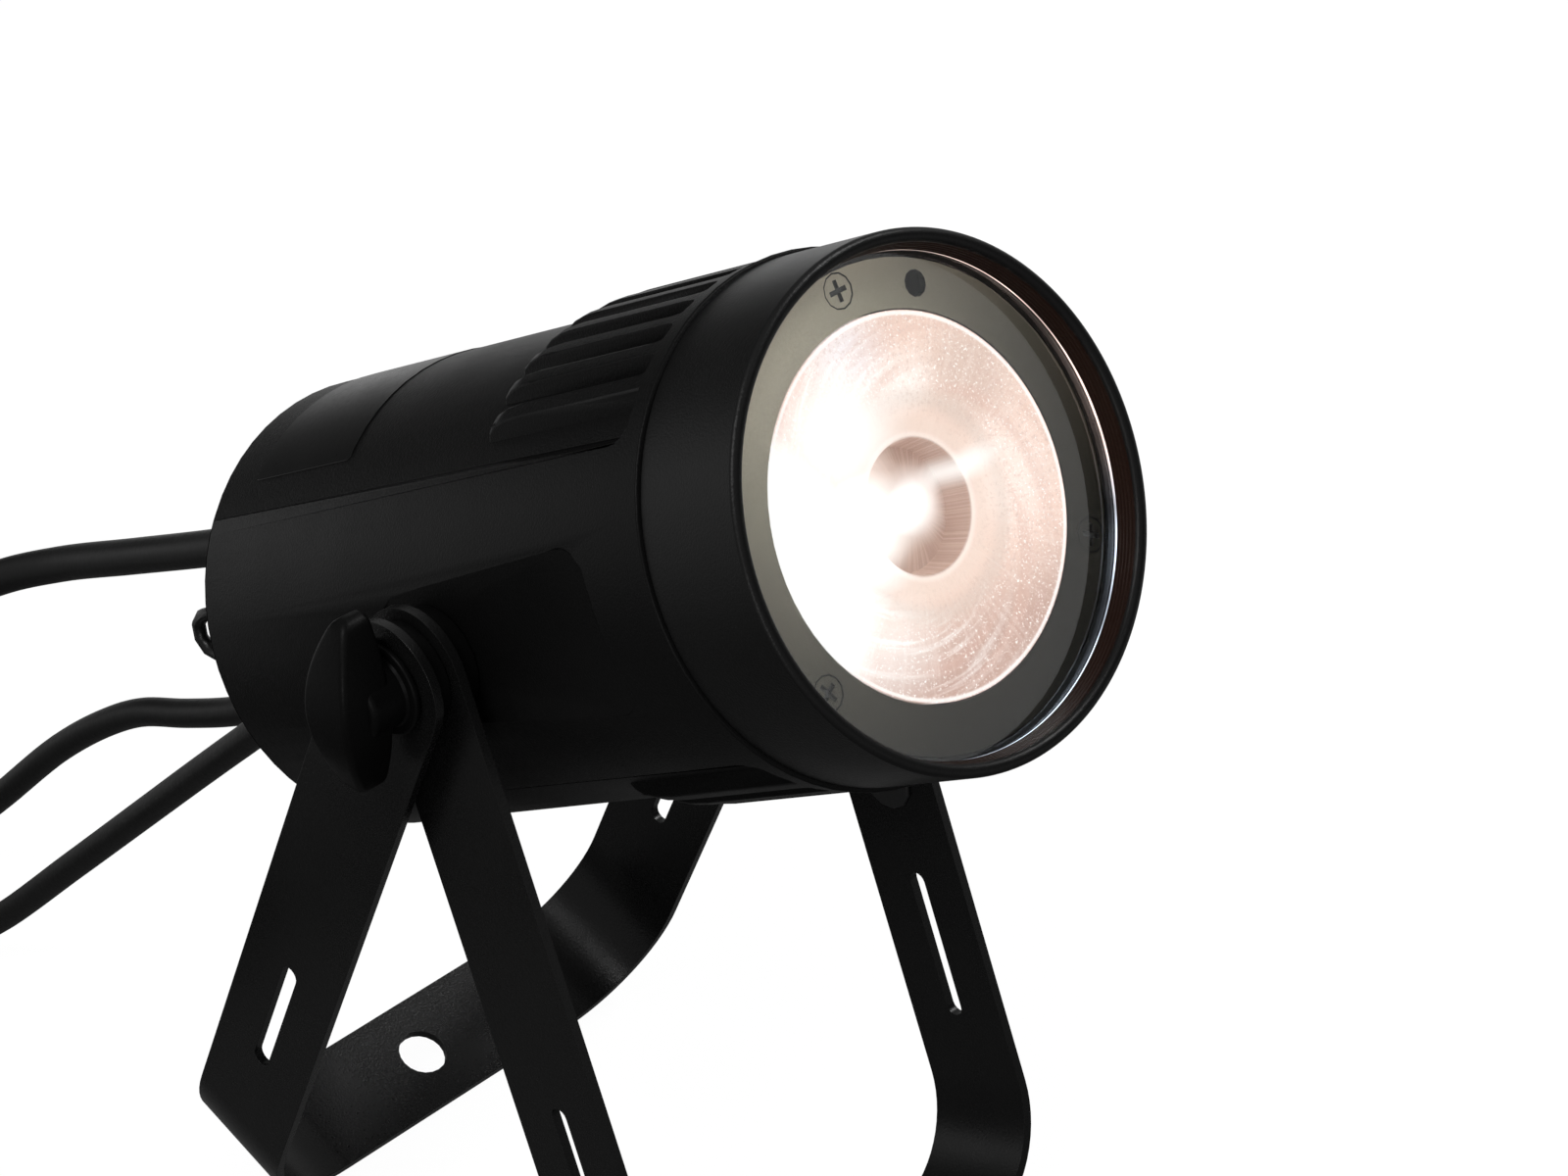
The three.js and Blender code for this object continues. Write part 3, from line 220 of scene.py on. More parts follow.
def clear_glass():
    """Clear glass with faint smears."""
    shader = Shader("front_glass_clear", Transmission_Weight=1.0, IOR=1.47, Roughness=0.0)
    smear = shader.noise(SMEAR_SCALE, 4)
    shader.set("Roughness", shader.remap(smear, *SMEAR_SPAN, 0.0, SMEAR_ROUGHNESS))
    shader.set("Base Color", shader.blend(smear, grey(0.985), SMEAR_TINT))
    return shader.material


# The lens and its plate are painted by places across and up from their middle, as shares of the lens's
# radius.
LENS_R = 35.9
WELL_R = 12.6
SADDLE_R = 20
LENS_GLOW = 0.62
LENS_BASE_SHARE = 0.7
WHITE = (1.0, 0.99, 0.975, 1)
PINK = (0.79, 0.585, 0.50, 1)
BROWN = (0.51, 0.325, 0.265, 1)
CREAM = (0.92, 0.84, 0.80, 1)
COLD = (0.84, 0.86, 0.93, 1)
BLACK = (0.0, 0.0, 0.0, 1)

# Painted light and shade on the lens's ground, at the upper right, the right and twice at the top: middle, half
# width and height, the share of them that is full, strength and colour.
LENS_PATCHES = (
    ((0.62, 0.48), (0.45, 0.42), 0.2, 0.8, (0.61, 0.45, 0.38, 1)),
    ((0.62, -0.08), (0.42, 0.4), 0.2, 0.8, (0.90, 0.75, 0.68, 1)),
    ((-0.1, 0.86), (0.4, 0.3), 0.1, 0.6, COLD),
    ((0.2, 0.6), (0.3, 0.22), 0.1, 0.7, CREAM),
)
# White light on the lens, in the same form without a colour: from the left, on to the middle, through the
# well, a weak beam past it, and two fainter patches at the upper and the lower left.
LENS_LIGHTS = (
    ((-0.98, 0.04), (0.78, 0.98), 0.45, 1.0),
    ((-0.40, 0.03), (0.50, 0.42), 0.42, 1.0),
    ((-0.04, 0.0), (0.31, 0.18), 0.3, 0.95),
    ((0.38, 0.07), (0.34, 0.11), 0.0, 0.75),
    ((-0.36, 0.52), (0.58, 0.5), 0.1, 0.85),
    ((-0.55, -0.55), (0.5, 0.42), 0.0, 0.45),
)
# Painted light and shade of the soft ring round the well and the darker line at its outer edge, then of the well:
# shaded at the right and below, pale at the left, with a painted highlight on its bottom.
RING_TAN = (0.75, 0.60, 0.52, 1)
RING_LINE = (0.58, 0.49, 0.43, 1)
WELL_DARK = (0.37, 0.235, 0.185, 1)
WELL_PALE = (0.90, 0.72, 0.63, 1)
WELL_LOW = (0.38, 0.25, 0.2, 1)
WELL_HIGHLIGHT_TINT = (0.93, 0.83, 0.79, 1)
WELL_HIGHLIGHT = ((0.1, 0.0), (0.27, 0.25), 0.15)

# Where a tone of the lens starts and is full: places up or across, and distances from the middle, from the
# saddle's edge and from the well's edge.
LOW_SPAN = (-0.35, -0.85)
STREAK_SPAN = (0.35, -0.25)
WELL_LEFT_SPAN = (0.16, -0.26)
WELL_LOW_SPAN = (-0.05, -0.27)
RIM_HIGHLIGHT_SPANS = ((0.968, 0.982), (1.0, 0.99))
SADDLE_OUTSIDE = (-0.06, 0.1)
SADDLE_INSIDE = (-0.02, -0.14)
SADDLE_LINE = ((-0.1, -0.01), (0.09, 0))
WELL_INSIDE = (0.016, -0.004)
WELL_LINE = ((0, 0.014), (0.045, 0.018))

# How strongly they show.
STREAK_LEVELS = (0.1, 1.0)
SADDLE_STRENGTH = 0.6
LINE_STRENGTH = 0.35
WELL_LOW_STRENGTH = 0.85
RIM_HIGHLIGHT_STRENGTH = 0.7

# Noise of the lens: its scale, detail and roughness, the span of it that shows, and how strongly.
STREAKS = (6.5, 4.0, 0.55, (0.48, 0.74), 1.0)
SHADES = (3.1, 3.0, 0.5, (0.52, 0.36), 0.4)
BRUSHING = (1.6, 3.0, 0.5, (0.45, 0.75), 0.2)
WELL_BRUSHING = (1.6, 3.0, 0.5, (0.4, 0.7), 0.22)
SPECKS = (1900, 2, 0.8, (0.57, 0.68), 0.75)
PITS = (1400, 2, 0.8, (0.46, 0.36), 0.3)

# Streaks run round the middle in a slow spiral, and the brushing runs outward. Each is noise per radius of
# the lens or per radian.
SPIRAL_OUT = 2.6
SPIRAL_ROUND = 0.5
SPIRAL_DRIFT = 0.16
BRUSH_OUT = 1.2
BRUSH_ROUND = 22.0
SHADE_TONE = 1.25
LENS_GRAIN_SCALE = 2600
LENS_GRAIN_DEPTH = 0.00002


def face_places(shader):
    """Places across and up from the lens's middle, as shares of its radius."""
    local = shader.node("Mapping", {"vector_type": "TEXTURE"})
    shader.feed(local.inputs["Vector"], shader.coordinates)
    local.inputs["Location"].default_value = LAMP.translation
    local.inputs["Rotation"].default_value = LAMP.to_euler()
    local.inputs["Scale"].default_value = (LENS_R * MM,) * 3
    split = shader.node("SeparateXYZ", Vector=local.outputs["Vector"])
    return split.outputs["X"], split.outputs["Y"]


# The plate's painted sheen of light grows this many times from one lens radius to the next, toward the upper left.
PAINTED_SHEEN = (0.49, 0.45, 0.355, 1)
PAINTED_SHEEN_GROWTH = 3.8
PAINTED_SHEEN_LEVEL = 0.195
PAINTED_SHEEN_SLANT = 0.5
PLATE_GRAIN_SCALE = 1700
PLATE_GRAIN_DEPTH = 0.00004
PLATE_SPECKLE = 0.75


def plate_look():
    """Black satin paint with a painted olive sheen of light toward the upper left."""
    shader = Shader("plate_black_painted_sheen", Specular_IOR_Level=0.03, Roughness=0.5)
    x, y = face_places(shader)
    slant = shader.math("SUBTRACT", y, shader.times(x, PAINTED_SHEEN_SLANT))
    strength = shader.times(shader.math("POWER", PAINTED_SHEEN_GROWTH, slant), PAINTED_SHEEN_LEVEL)
    grain = shader.noise(PLATE_GRAIN_SCALE, 2, 0.65)
    speckle = shader.blend(grain, grey(PLATE_SPECKLE), grey(1))
    # The painted sheen of light is mixed into the plate's base colour, strongest at the upper left.
    shader.set("Base Color", shader.blend(1.0, shader.blend(strength, BLACK, PAINTED_SHEEN), speckle, "MULTIPLY"))
    shader.set("Normal", shader.bump(grain, PLATE_GRAIN_DEPTH))
    return shader.material


def lens_look():
    """A clear lens with its light and shade painted in its colour and glow: white from the left, pink and brown to
    the right, with streaks, specks and a bright rim."""
    shader = Shader("lens_clear", Roughness=0.2, Specular_IOR_Level=0.3, Coat_Weight=0.3, Coat_Roughness=0.05)
    times = shader.times
    plus = shader.plus
    smooth = shader.smooth
    x, y = face_places(shader)

    def distance(a, b):
        return shader.math("SQRT", plus(times(a, a), times(b, b)))

    def span(value, edge, limits):
        return smooth(value, edge + limits[0], edge + limits[1])

    def oval(middle, halves, full):
        """1 inside the full share of an oval, fading to 0 at its edge."""
        across = times(plus(x, -middle[0]), 1 / halves[0])
        up = times(plus(y, -middle[1]), 1 / halves[1])
        return smooth(distance(across, up), 1, full)

    def pattern(kind, places=shader.coordinates):
        scale, detail, roughness, limits, strength = kind
        inputs = {"Scale": scale, "Detail": detail, "Roughness": roughness, "Vector": places}
        return times(smooth(shader.node("TexNoise", **inputs).outputs["Fac"], *limits), strength)

    radius = distance(x, y)
    angle = shader.math("ARCTAN2", y, x)
    well = WELL_R / LENS_R
    saddle = SADDLE_R / LENS_R

    # Ground, with its light and shade painted: pink, brown at the bottom and the upper right, paler to the right
    # and at the top.
    ground = shader.blend(smooth(y, *LOW_SPAN), PINK, BROWN)
    for middle, halves, full, strength, color in LENS_PATCHES:
        ground = shader.blend(times(oval(middle, halves, full), strength), ground, color)

    # Painted light in long streaks round the middle, strongest to the left, painted shade in darker streaks, fine
    # radial brushing, bright specks and dark pits.
    spiral = plus(times(radius, SPIRAL_OUT), times(angle, SPIRAL_ROUND))
    around = shader.node("CombineXYZ", X=spiral, Y=times(angle, SPIRAL_DRIFT)).outputs["Vector"]
    beside = times(angle, BRUSH_ROUND)
    rays = shader.node("CombineXYZ", X=beside, Y=times(radius, BRUSH_OUT)).outputs["Vector"]
    outside = span(radius, saddle, SADDLE_OUTSIDE)
    to_left = smooth(x, *STREAK_SPAN, *STREAK_LEVELS)
    ground = shader.blend(times(times(pattern(STREAKS, around), outside), to_left), ground, WHITE)
    ground = shader.blend(times(pattern(SHADES, around), outside), ground, toned(BROWN, SHADE_TONE))
    ground = shader.blend(pattern(BRUSHING, rays), ground, CREAM)
    ground = shader.blend(times(pattern(SPECKS), outside), ground, WHITE)
    ground = shader.blend(pattern(PITS), ground, BROWN)

    # A soft ring round the well, painted darker at its outer edge as shade, then the well, painted in light and
    # shade, with a thin bright outline.
    line = times(*(span(radius, saddle, limits) for limits in SADDLE_LINE))
    ground = shader.blend(times(line, LINE_STRENGTH), ground, RING_LINE)
    ground = shader.blend(times(span(radius, saddle, SADDLE_INSIDE), SADDLE_STRENGTH), ground, RING_TAN)
    bowl = shader.blend(smooth(x, *WELL_LEFT_SPAN), WELL_DARK, WELL_PALE)
    bowl = shader.blend(times(smooth(y, *WELL_LOW_SPAN), WELL_LOW_STRENGTH), bowl, WELL_LOW)
    bowl = shader.blend(pattern(WELL_BRUSHING, rays), bowl, PINK)
    bowl = shader.blend(oval(*WELL_HIGHLIGHT), bowl, WELL_HIGHLIGHT_TINT)
    ground = shader.blend(span(radius, well, WELL_INSIDE), ground, bowl)
    outline = times(*(span(radius, well, limits) for limits in WELL_LINE))
    ground = shader.blend(times(outline, LINE_STRENGTH), ground, CREAM)

    # Painted white light and a painted highlight on the rim.
    glow = 0.0
    for middle, halves, full, strength in LENS_LIGHTS:
        glow = shader.top(glow, times(oval(middle, halves, full), strength))
    rim = times(*(smooth(radius, *limits) for limits in RIM_HIGHLIGHT_SPANS))
    color = shader.blend(shader.top(glow, times(rim, RIM_HIGHLIGHT_STRENGTH)), ground, WHITE)
    shader.set("Base Color", shader.blend(LENS_BASE_SHARE, BLACK, color))
    # The lens glows in the same colour, a painted glow for the light passing through it.
    shader.set("Emission Color", color)
    shader.set("Emission Strength", LENS_GLOW)
    shader.set("Normal", shader.bump(shader.noise(LENS_GRAIN_SCALE, 1), LENS_GRAIN_DEPTH))
    return shader.material


EDGE_COLD = (0.75, 0.85, 1.0, 1)
EDGE_WARM = (0.95, 0.74, 0.66, 1)
EDGE_DARK = grey(0.02)
EDGE_GLOW = 0.9
EDGE_TURN = (-0.7, -0.1)
EDGE_PATCH_SCALE = 55
EDGE_PATCH_SPAN = (0.35, 0.65)
EDGE_PATCH_LEVELS = (0.25, 1.0)


def lit_edge():
    """The glass's rim and the lip over it, which catch the lens's light: warm above, cold below."""
    shader = Shader("glass_rim_lit", Roughness=0.5)
    y = face_places(shader)[1]
    tint = shader.blend(shader.smooth(y, *EDGE_TURN), EDGE_COLD, EDGE_WARM)
    patchy = shader.remap(shader.noise(EDGE_PATCH_SCALE, 3), *EDGE_PATCH_SPAN, *EDGE_PATCH_LEVELS)
    color = shader.blend(patchy, EDGE_DARK, tint)
    shader.set("Base Color", color)
    shader.set("Emission Color", color)
    shader.set("Emission Strength", EDGE_GLOW)
    return shader.material


# Name, colour, roughness, the grain's scale and its depth in metres.
CASTING = coated("casting_black", grey(0.0016), 0.38, 2000, 0.00008, specular=0.035)
RING_PAINT = coated("ring_black", grey(0.002), 0.36, 2200, 0.00007, specular=0.075)
# The bore's paint is tinted brown, a painted reflection of the lens's warm light.
BORE_PAINT_AND_REFLECTION = coated("ring_bore_black_painted_reflection", (0.0075, 0.0035, 0.0024, 1), 0.32, 2200, 0.00004, specular=0.04)
STEEL_PAINT = coated("strap_black", grey(0.002), 0.28, 1800, 0.00005, specular=0.12)
PLASTIC = coated("plastic_black", grey(0.0012), 0.4, 1200, 0.00005, specular=0.03)
# The plate's black paint, with its sheen of light painted in.
PLATE_PAINT_AND_SHEEN = plate_look()
RUBBER = coated("rubber_black", grey(0.006), 0.6, 900, 0.00006, specular=0.15)
SHEATH = coated("sheath_black", grey(0.003), 0.42, 700, 0.00006, specular=0.1)
LABEL_FILM = coated("label_dark", grey(0.0015), 0.3, 900, 0.00001, specular=0.05)
BLACK_STEEL = coated("screw_black", grey(0.03), 0.4, 1500, 0.00003, metallic=0.4)
BRIGHT_STEEL = coated("steel_turned", grey(0.55), 0.3, 900, 0.00003, metallic=1.0, tone=0.08)
BRASS = coated("brass_turned", (0.62, 0.46, 0.2, 1), 0.3, 900, 0.00003, metallic=1.0, tone=0.08)
ALUMINIUM = coated("aluminium_bare", grey(0.62), 0.35, 900, 0.00003, metallic=1.0, tone=0.06)
BOARD = coated("board_green", (0.02, 0.13, 0.06, 1), 0.45, 500, 0.00005, tone=0.2)
TAPE = coated("tape_yellow", (0.75, 0.55, 0.12, 1), 0.4, 500, 0.00004, tone=0.12)
WINDOW = coated("window_dark", (0.02, 0.003, 0.003, 1), 0.08, 300, 0.00001, specular=0.5, spread=0.02)
GLASS = clear_glass()
LIT_EDGE = lit_edge()
LENS = lens_look()


# Meshes. Angles are in degrees.

ROUND_SIDES = 192
BAR_SIDES = 32
SHARP = 32
SHARP_BAR = 50
SHARP_CORD = 60
STEEP = 40
FLAT = 0.4
MERGED = 1e-6
BEVEL_SEGMENTS = 2
NORMAL_WEIGHT = 60

# An edge gets its full bevel from this many bevels' length on.
ROOM_FOR_BEVEL = 3

# A face counts as part of the lamp's round within these limits of its radii, in millimetres, and its slope,
# and a corner beside it within the last one.
FLUSH = 0.8
FLUSH_SLOPE = 10
CORNER_SLOPE = 37


def stand_in(piece, node):
    """Puts a piece in the place of a CAD node, on its body."""
    bodies = frame["record"]["behaviour"]["bodies"]
    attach(piece, next(name for name, members in bodies.items() if node in members))
    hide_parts(node)
    return piece


def add_object(name, vertices, faces, material, sharp=SHARP):
    mesh = bpy.data.meshes.new(name)
    mesh.from_pydata(vertices, [], faces)
    mesh.validate()
    solid = bmesh.new()
    solid.from_mesh(mesh)
    bmesh.ops.recalc_face_normals(solid, faces=solid.faces)
    solid.to_mesh(mesh)
    solid.free()
    mesh.materials.append(material)
    mesh.shade_smooth()
    mesh.set_sharp_from_angle(angle=math.radians(sharp))
    piece = bpy.data.objects.new(name, mesh)
    bpy.context.scene.collection.objects.link(piece)
    return piece


def lathe(profile, place, sides=ROUND_SIDES):
    """Vertices and faces of a profile of [radius, height] in mm, turned about place's z axis. It starts and
    ends on the axis, or closes on itself."""
    vertices = []
    rows = []
    for r, s in profile:
        if r == 0:
            rows.append([len(vertices)] * sides)
            vertices.append(place @ Vector((0, 0, s * MM)))
            continue
        rows.append(list(range(len(vertices), len(vertices) + sides)))
        for i in range(sides):
            turn = 2 * math.pi * i / sides
            vertices.append(place @ Vector((r * MM * math.cos(turn), r * MM * math.sin(turn), s * MM)))
    if profile[0][0] > 0:
        rows.append(rows[0])
    faces = []
    for low, high in zip(rows, rows[1:]):
        for i in range(sides):
            j = (i + 1) % sides
            corners = [low[i], low[j], high[j], high[i]]
            face = [c for k, c in enumerate(corners) if c != corners[k - 1]]
            if len(face) > 2:
                faces.append(face)
    return vertices, faces


def flatten_shading(piece):
    """Large faces keep their own shading beside small rounded ones."""
    normals = piece.modifiers.new("normals", "WEIGHTED_NORMAL")
    normals.keep_sharp = True
    normals.weight = NORMAL_WEIGHT


def turned(node, form, profile, place, material, sides=ROUND_SIDES):
    """A turned piece in a CAD node's place."""
    vertices, faces = lathe(profile, place, sides)
    piece = add_object(f"{node}_{form}", vertices, faces, material)
    flatten_shading(piece)
    return stand_in(piece, node)


def weigh_edges(form, bevel, sharp):
    """Steep outward edges get a bevel weight, smaller on short edges, where a full bevel has no room. Other
    sharp edges stay crisp."""
    weights = form.edges.layers.float.new("bevel_weight_edge")
    for edge in form.edges:
        angle = edge.calc_face_angle()
        if angle < math.radians(sharp):
            continue
        if edge.is_convex and angle > math.radians(STEEP):
            edge[weights] = min(1.0, edge.calc_length() / (ROOM_FOR_BEVEL * bevel * MM))
        else:
            edge.smooth = False


def shade_round(piece):
    """Applies a piece's modifiers and shades its faces that lie round the lamp's axis as a true round."""
    face_limit = math.cos(math.radians(FLUSH_SLOPE))
    corner_limit = math.cos(math.radians(CORNER_SLOPE))
    mesh = bpy.data.meshes.new_from_object(piece.evaluated_get(bpy.context.evaluated_depsgraph_get()))
    piece.modifiers.clear()
    piece.data = mesh
    places = [INTO_LAMP @ vertex.co for vertex in mesh.vertices]
    radii = [math.hypot(p.x, p.y) for p in places]
    outward = [(LAMP.to_3x3() @ Vector((p.x, p.y, 0))).normalized() for p in places]
    flush = []
    for face in mesh.polygons:
        spread = [radii[i] for i in face.vertices]
        away = sum((outward[i] for i in face.vertices), Vector()).normalized()
        flush.append(max(spread) - min(spread) < FLUSH * MM and face.normal.dot(away) > face_limit)
    touched = {i for face, is_flush in zip(mesh.polygons, flush) if is_flush for i in face.vertices}
    normals = [corner.vector.copy() for corner in mesh.corner_normals]
    for face, is_flush in zip(mesh.polygons, flush):
        for corner in face.loop_indices:
            i = mesh.loops[corner].vertex_index
            if is_flush or (i in touched and normals[corner].dot(outward[i]) > corner_limit):
                normals[corner] = outward[i]
    mesh.normals_split_custom_set(normals)


def finished(node, material, bevel=0.3, sharp=SHARP, joined=True, weighted=False):
    """A CAD node's own form with rounded edges and smooth curves. Joined merges its flat triangles first,
    which a flat face with holes in it doesn't bear. Weighted gives the full bevel to the long steep edges
    alone."""
    source = frame["nodes"][node].data
    form = bmesh.new()
    form.from_mesh(source)
    bmesh.ops.remove_doubles(form, verts=form.verts, dist=MERGED)
    if joined:
        bmesh.ops.dissolve_limit(form, angle_limit=math.radians(FLAT), verts=form.verts, edges=form.edges)
    for face in form.faces:
        face.smooth = True
    if weighted:
        weigh_edges(form, bevel, sharp)
    mesh = bpy.data.meshes.new(node + "_finished")
    form.to_mesh(mesh)
    form.free()
    mesh.materials.append(material)
    piece = bpy.data.objects.new(node + "_finished", mesh)
    bpy.context.scene.collection.objects.link(piece)
    if bevel:
        edge = piece.modifiers.new("edge", "BEVEL")
        edge.width = bevel * MM
        edge.segments = BEVEL_SEGMENTS
        edge.limit_method = "WEIGHT" if weighted else "ANGLE"
        edge.angle_limit = math.radians(sharp)
        edge.use_clamp_overlap = not weighted
        edge.miter_outer = "MITER_ARC"
        if weighted:
            shade_round(piece)
        else:
            flatten_shading(piece)
    else:
        mesh.set_sharp_from_angle(angle=math.radians(sharp))
    return stand_in(piece, node)


# Cords. Their routes are part.mjs's points in metres, before the shift to the row frame's middle.

MAINS_R = 4.2
DATA_R = 3.4
# Where each cord leaves the lamp, off its axis in mm, mostly down.
MAINS_EXIT = (-2, 19)
DATA_EXIT_A = (-3, -18)
DATA_EXIT_B = (-27, -15)
MAINS_RELIEF = {"neck": 6.2, "flange": 8, "flange_depth": 2.2, "base": 6.6, "tip": 5.2, "length": 27}
DATA_RELIEF = {"neck": 4.8, "flange": 6.4, "flange_depth": 1.8, "base": 5.2, "tip": 4.2, "length": 21}
SHORT_DATA_RELIEF = {**DATA_RELIEF, "length": 14}
ROUTE_STEP = 0.0025

# A cord goes straight for this many of its radii out of its relief, into a connector and beside the coil, and
# reaches for a connector over more.
STRAIGHT = 2
REACH = 5

MAINS_ROUTE = [
    (-0.002, 0.131, 0.1216), (-0.0028, 0.1582, 0.1103), (-0.005, 0.1836, 0.1002), (-0.011, 0.1997, 0.0936),
    (-0.020, 0.215, 0.0845), (-0.033, 0.229, 0.069), (-0.050, 0.238, 0.051), (-0.068, 0.242, 0.0315),
    (-0.085, 0.2415, 0.014), (-0.0965, 0.2394, 0.0074),
]
DATA_ROUTE_A = [
    (-0.0031, 0.104, 0.093), (-0.0033, 0.1273, 0.0811), (-0.004, 0.1439, 0.0745), (-0.005, 0.1599, 0.069),
    (-0.0065, 0.173, 0.0616), (-0.009, 0.1893, 0.0495), (-0.013, 0.2121, 0.0283), (-0.015, 0.222, 0.0195),
    (-0.017, 0.233, 0.0115), (-0.021, 0.245, 0.006), (-0.028, 0.257, 0.0039), (-0.039, 0.2675, 0.0037),
    (-0.055, 0.2755, 0.0037), (-0.071, 0.2755, 0.004),
]
DATA_ROUTE_B = [
    (-0.0273, 0.0917, 0.0994), (-0.0285, 0.1095, 0.0838), (-0.030, 0.1277, 0.0676), (-0.0325, 0.1561, 0.0423),
    (-0.036, 0.185, 0.0167), (-0.0385, 0.196, 0.009), (-0.041, 0.207, 0.0052), (-0.045, 0.219, 0.0038),
    (-0.053, 0.234, 0.0037), (-0.067, 0.247, 0.0037), (-0.084, 0.2535, 0.0037), (-0.098, 0.2535, 0.004),
]

COIL_CENTRE = (-0.121, 0.187)
COIL_TURNS = 1.375
COIL_OUTER_R = 0.0505
COIL_LAYER_GAP = 0.6
COIL_TURN_GAP = 2.1
COIL_LAYER = (2 * MAINS_R + COIL_LAYER_GAP) * MM
COIL_PITCH = (2 * MAINS_R + COIL_TURN_GAP) * MM
COIL_CLIMB_TURNS = 0.5
COIL_START = 90
COIL_POINTS_PER_TURN = 40
TAIL_LENGTH = 0.040
PLUG_R = 18.5
CONNECTOR_R = 9.5


def relief_end(size):
    return COVER_BACK - GAP - size["flange_depth"] - size["length"]


def cord_start(size, exit_place):
    """A cord's first two points, straight out of its relief."""
    first = relief_end(size) - GAP
    return [lamp_point(*exit_place, s) - SHIFT for s in (first, first - STRAIGHT * size["tip"])]


def smooth_route(points):
    """Points along a centripetal Catmull-Rom curve through the given ones."""
    points = [Vector(p) for p in points]
    points = [2 * points[0] - points[1], *points, 2 * points[-1] - points[-2]]
    route = []
    for a, b, c, d in zip(points, points[1:], points[2:], points[3:]):
        t0 = 0.0
        t1 = t0 + math.sqrt((b - a).length)
        t2 = t1 + math.sqrt((c - b).length)
        t3 = t2 + math.sqrt((d - c).length)
        count = max(2, math.ceil((c - b).length / ROUTE_STEP))
        for i in range(count):
            t = t1 + (t2 - t1) * i / count
            a1 = a * ((t1 - t) / (t1 - t0)) + b * ((t - t0) / (t1 - t0))
            a2 = b * ((t2 - t) / (t2 - t1)) + c * ((t - t1) / (t2 - t1))
            a3 = c * ((t3 - t) / (t3 - t2)) + d * ((t - t2) / (t3 - t2))
            b1 = a1 * ((t2 - t) / (t2 - t0)) + a2 * ((t - t0) / (t2 - t0))
            b2 = a2 * ((t3 - t) / (t3 - t1)) + a3 * ((t - t1) / (t3 - t1))
            route.append(b1 * ((t2 - t) / (t2 - t1)) + b2 * ((t - t1) / (t2 - t1)))
    route.append(points[-2])
    return route


def coil_route():
    """The mains coil: inward on the floor, up at its inmost half turn and outward again on top."""
    whole = 2 * COIL_TURNS + COIL_CLIMB_TURNS
    count = round(whole * COIL_POINTS_PER_TURN)
    route = []
    for i in range(count + 1):
        turns = whole * i / count
        inward = min(turns, COIL_TURNS, whole - turns)
        climb = min(1.0, max(0.0, (turns - COIL_TURNS) / COIL_CLIMB_TURNS))
        r = COIL_OUTER_R - COIL_PITCH * max(inward, 0.0)
        angle = math.radians(COIL_START) + turns * 2 * math.pi
        rise = (1 - math.cos(math.pi * climb)) / 2
        route.append(Vector((
            COIL_CENTRE[0] + r * math.cos(angle),
            COIL_CENTRE[1] + r * math.sin(angle),
            MAINS_R * MM + COIL_LAYER * rise,
        )))
    return route


def tube(name, route, radius, material):
    """A closed round tube along the route, which is in the row frame."""
    vertices = []
    faces = []
    across = Vector((1, 0, 0))
    for i, point in enumerate(route):
        ahead = route[min(i + 1, len(route) - 1)] - route[max(i - 1, 0)]
        ahead.normalize()
        across = (across - ahead * across.dot(ahead)).normalized()
        beside = ahead.cross(across)
        for k in range(BAR_SIDES):
            turn = 2 * math.pi * k / BAR_SIDES
            vertices.append(point + (across * math.cos(turn) + beside * math.sin(turn)) * radius * MM)
    for i in range(len(route) - 1):
        for k in range(BAR_SIDES):
            n = (k + 1) % BAR_SIDES
            low = i * BAR_SIDES
            high = low + BAR_SIDES
            faces.append((low + k, low + n, high + n, high + k))
    faces.append(tuple(range(BAR_SIDES)))
    last = (len(route) - 1) * BAR_SIDES
    faces.append(tuple(range(last, last + BAR_SIDES)))
    return add_object(name, vertices, faces, material, SHARP_CORD)


def blended_cord(name, route, radius, nodes):
    """A cord that starts at a strain relief on the lamp and lies still farther on, never below the floor."""
    route = [p + SHIFT for p in route]
    for point in route:
        point.z = max(point.z, radius * MM)
    cord = tube(name, route, radius, SHEATH)
    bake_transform(cord)
    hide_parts(*nodes)


def mains_cord():
    coil = coil_route()
    start_axis = Vector((-1, 0, 0))
    end_axis = Vector((0, -1, 0))
    stub = STRAIGHT * MAINS_R * MM
    into_coil = [coil[0] - start_axis * stub * 2, coil[0] - start_axis * stub]
    lead = smooth_route([*cord_start(MAINS_RELIEF, MAINS_EXIT), *MAINS_ROUTE, *into_coil])
    coil_end = coil[-1] + end_axis * stub
    tail_end = coil_end + end_axis * TAIL_LENGTH
    tail_end.z = PLUG_R * MM
    tail = smooth_route([coil_end, coil_end + end_axis * stub, tail_end - end_axis * stub, tail_end])
    route = [*lead, *coil, *tail]
    pieces = [
        finished("mains_plug", RUBBER, bevel=0.8), finished("plug_pin_1", BRASS, bevel=0.4),
        finished("plug_pin_2", BRASS, bevel=0.4), finished("mains_tie", RUBBER, bevel=0.3),
    ]
    nodes = ["mains_cord", "mains_coil", "mains_cord_end"]
    blended_cord(
        "mains_lead", route, MAINS_R, nodes,
    )


def data_cord(letter, route, exit_place, size):
    last = Vector(route[-1])
    before = Vector(route[-2])
    heading = Vector((last.x - before.x, last.y - before.y, 0)).normalized()
    end = last + heading * REACH * DATA_R * MM
    end.z = CONNECTOR_R * MM
    into_connector = end + heading * STRAIGHT * DATA_R * MM
    points = smooth_route([*cord_start(size, exit_place), *route, end, into_connector])
    connector = finished("data_connector_" + letter, BRIGHT_STEEL, bevel=0.4)
    blended_cord(
        "data_lead_" + letter, points, DATA_R, ["data_cord_" + letter],
    )


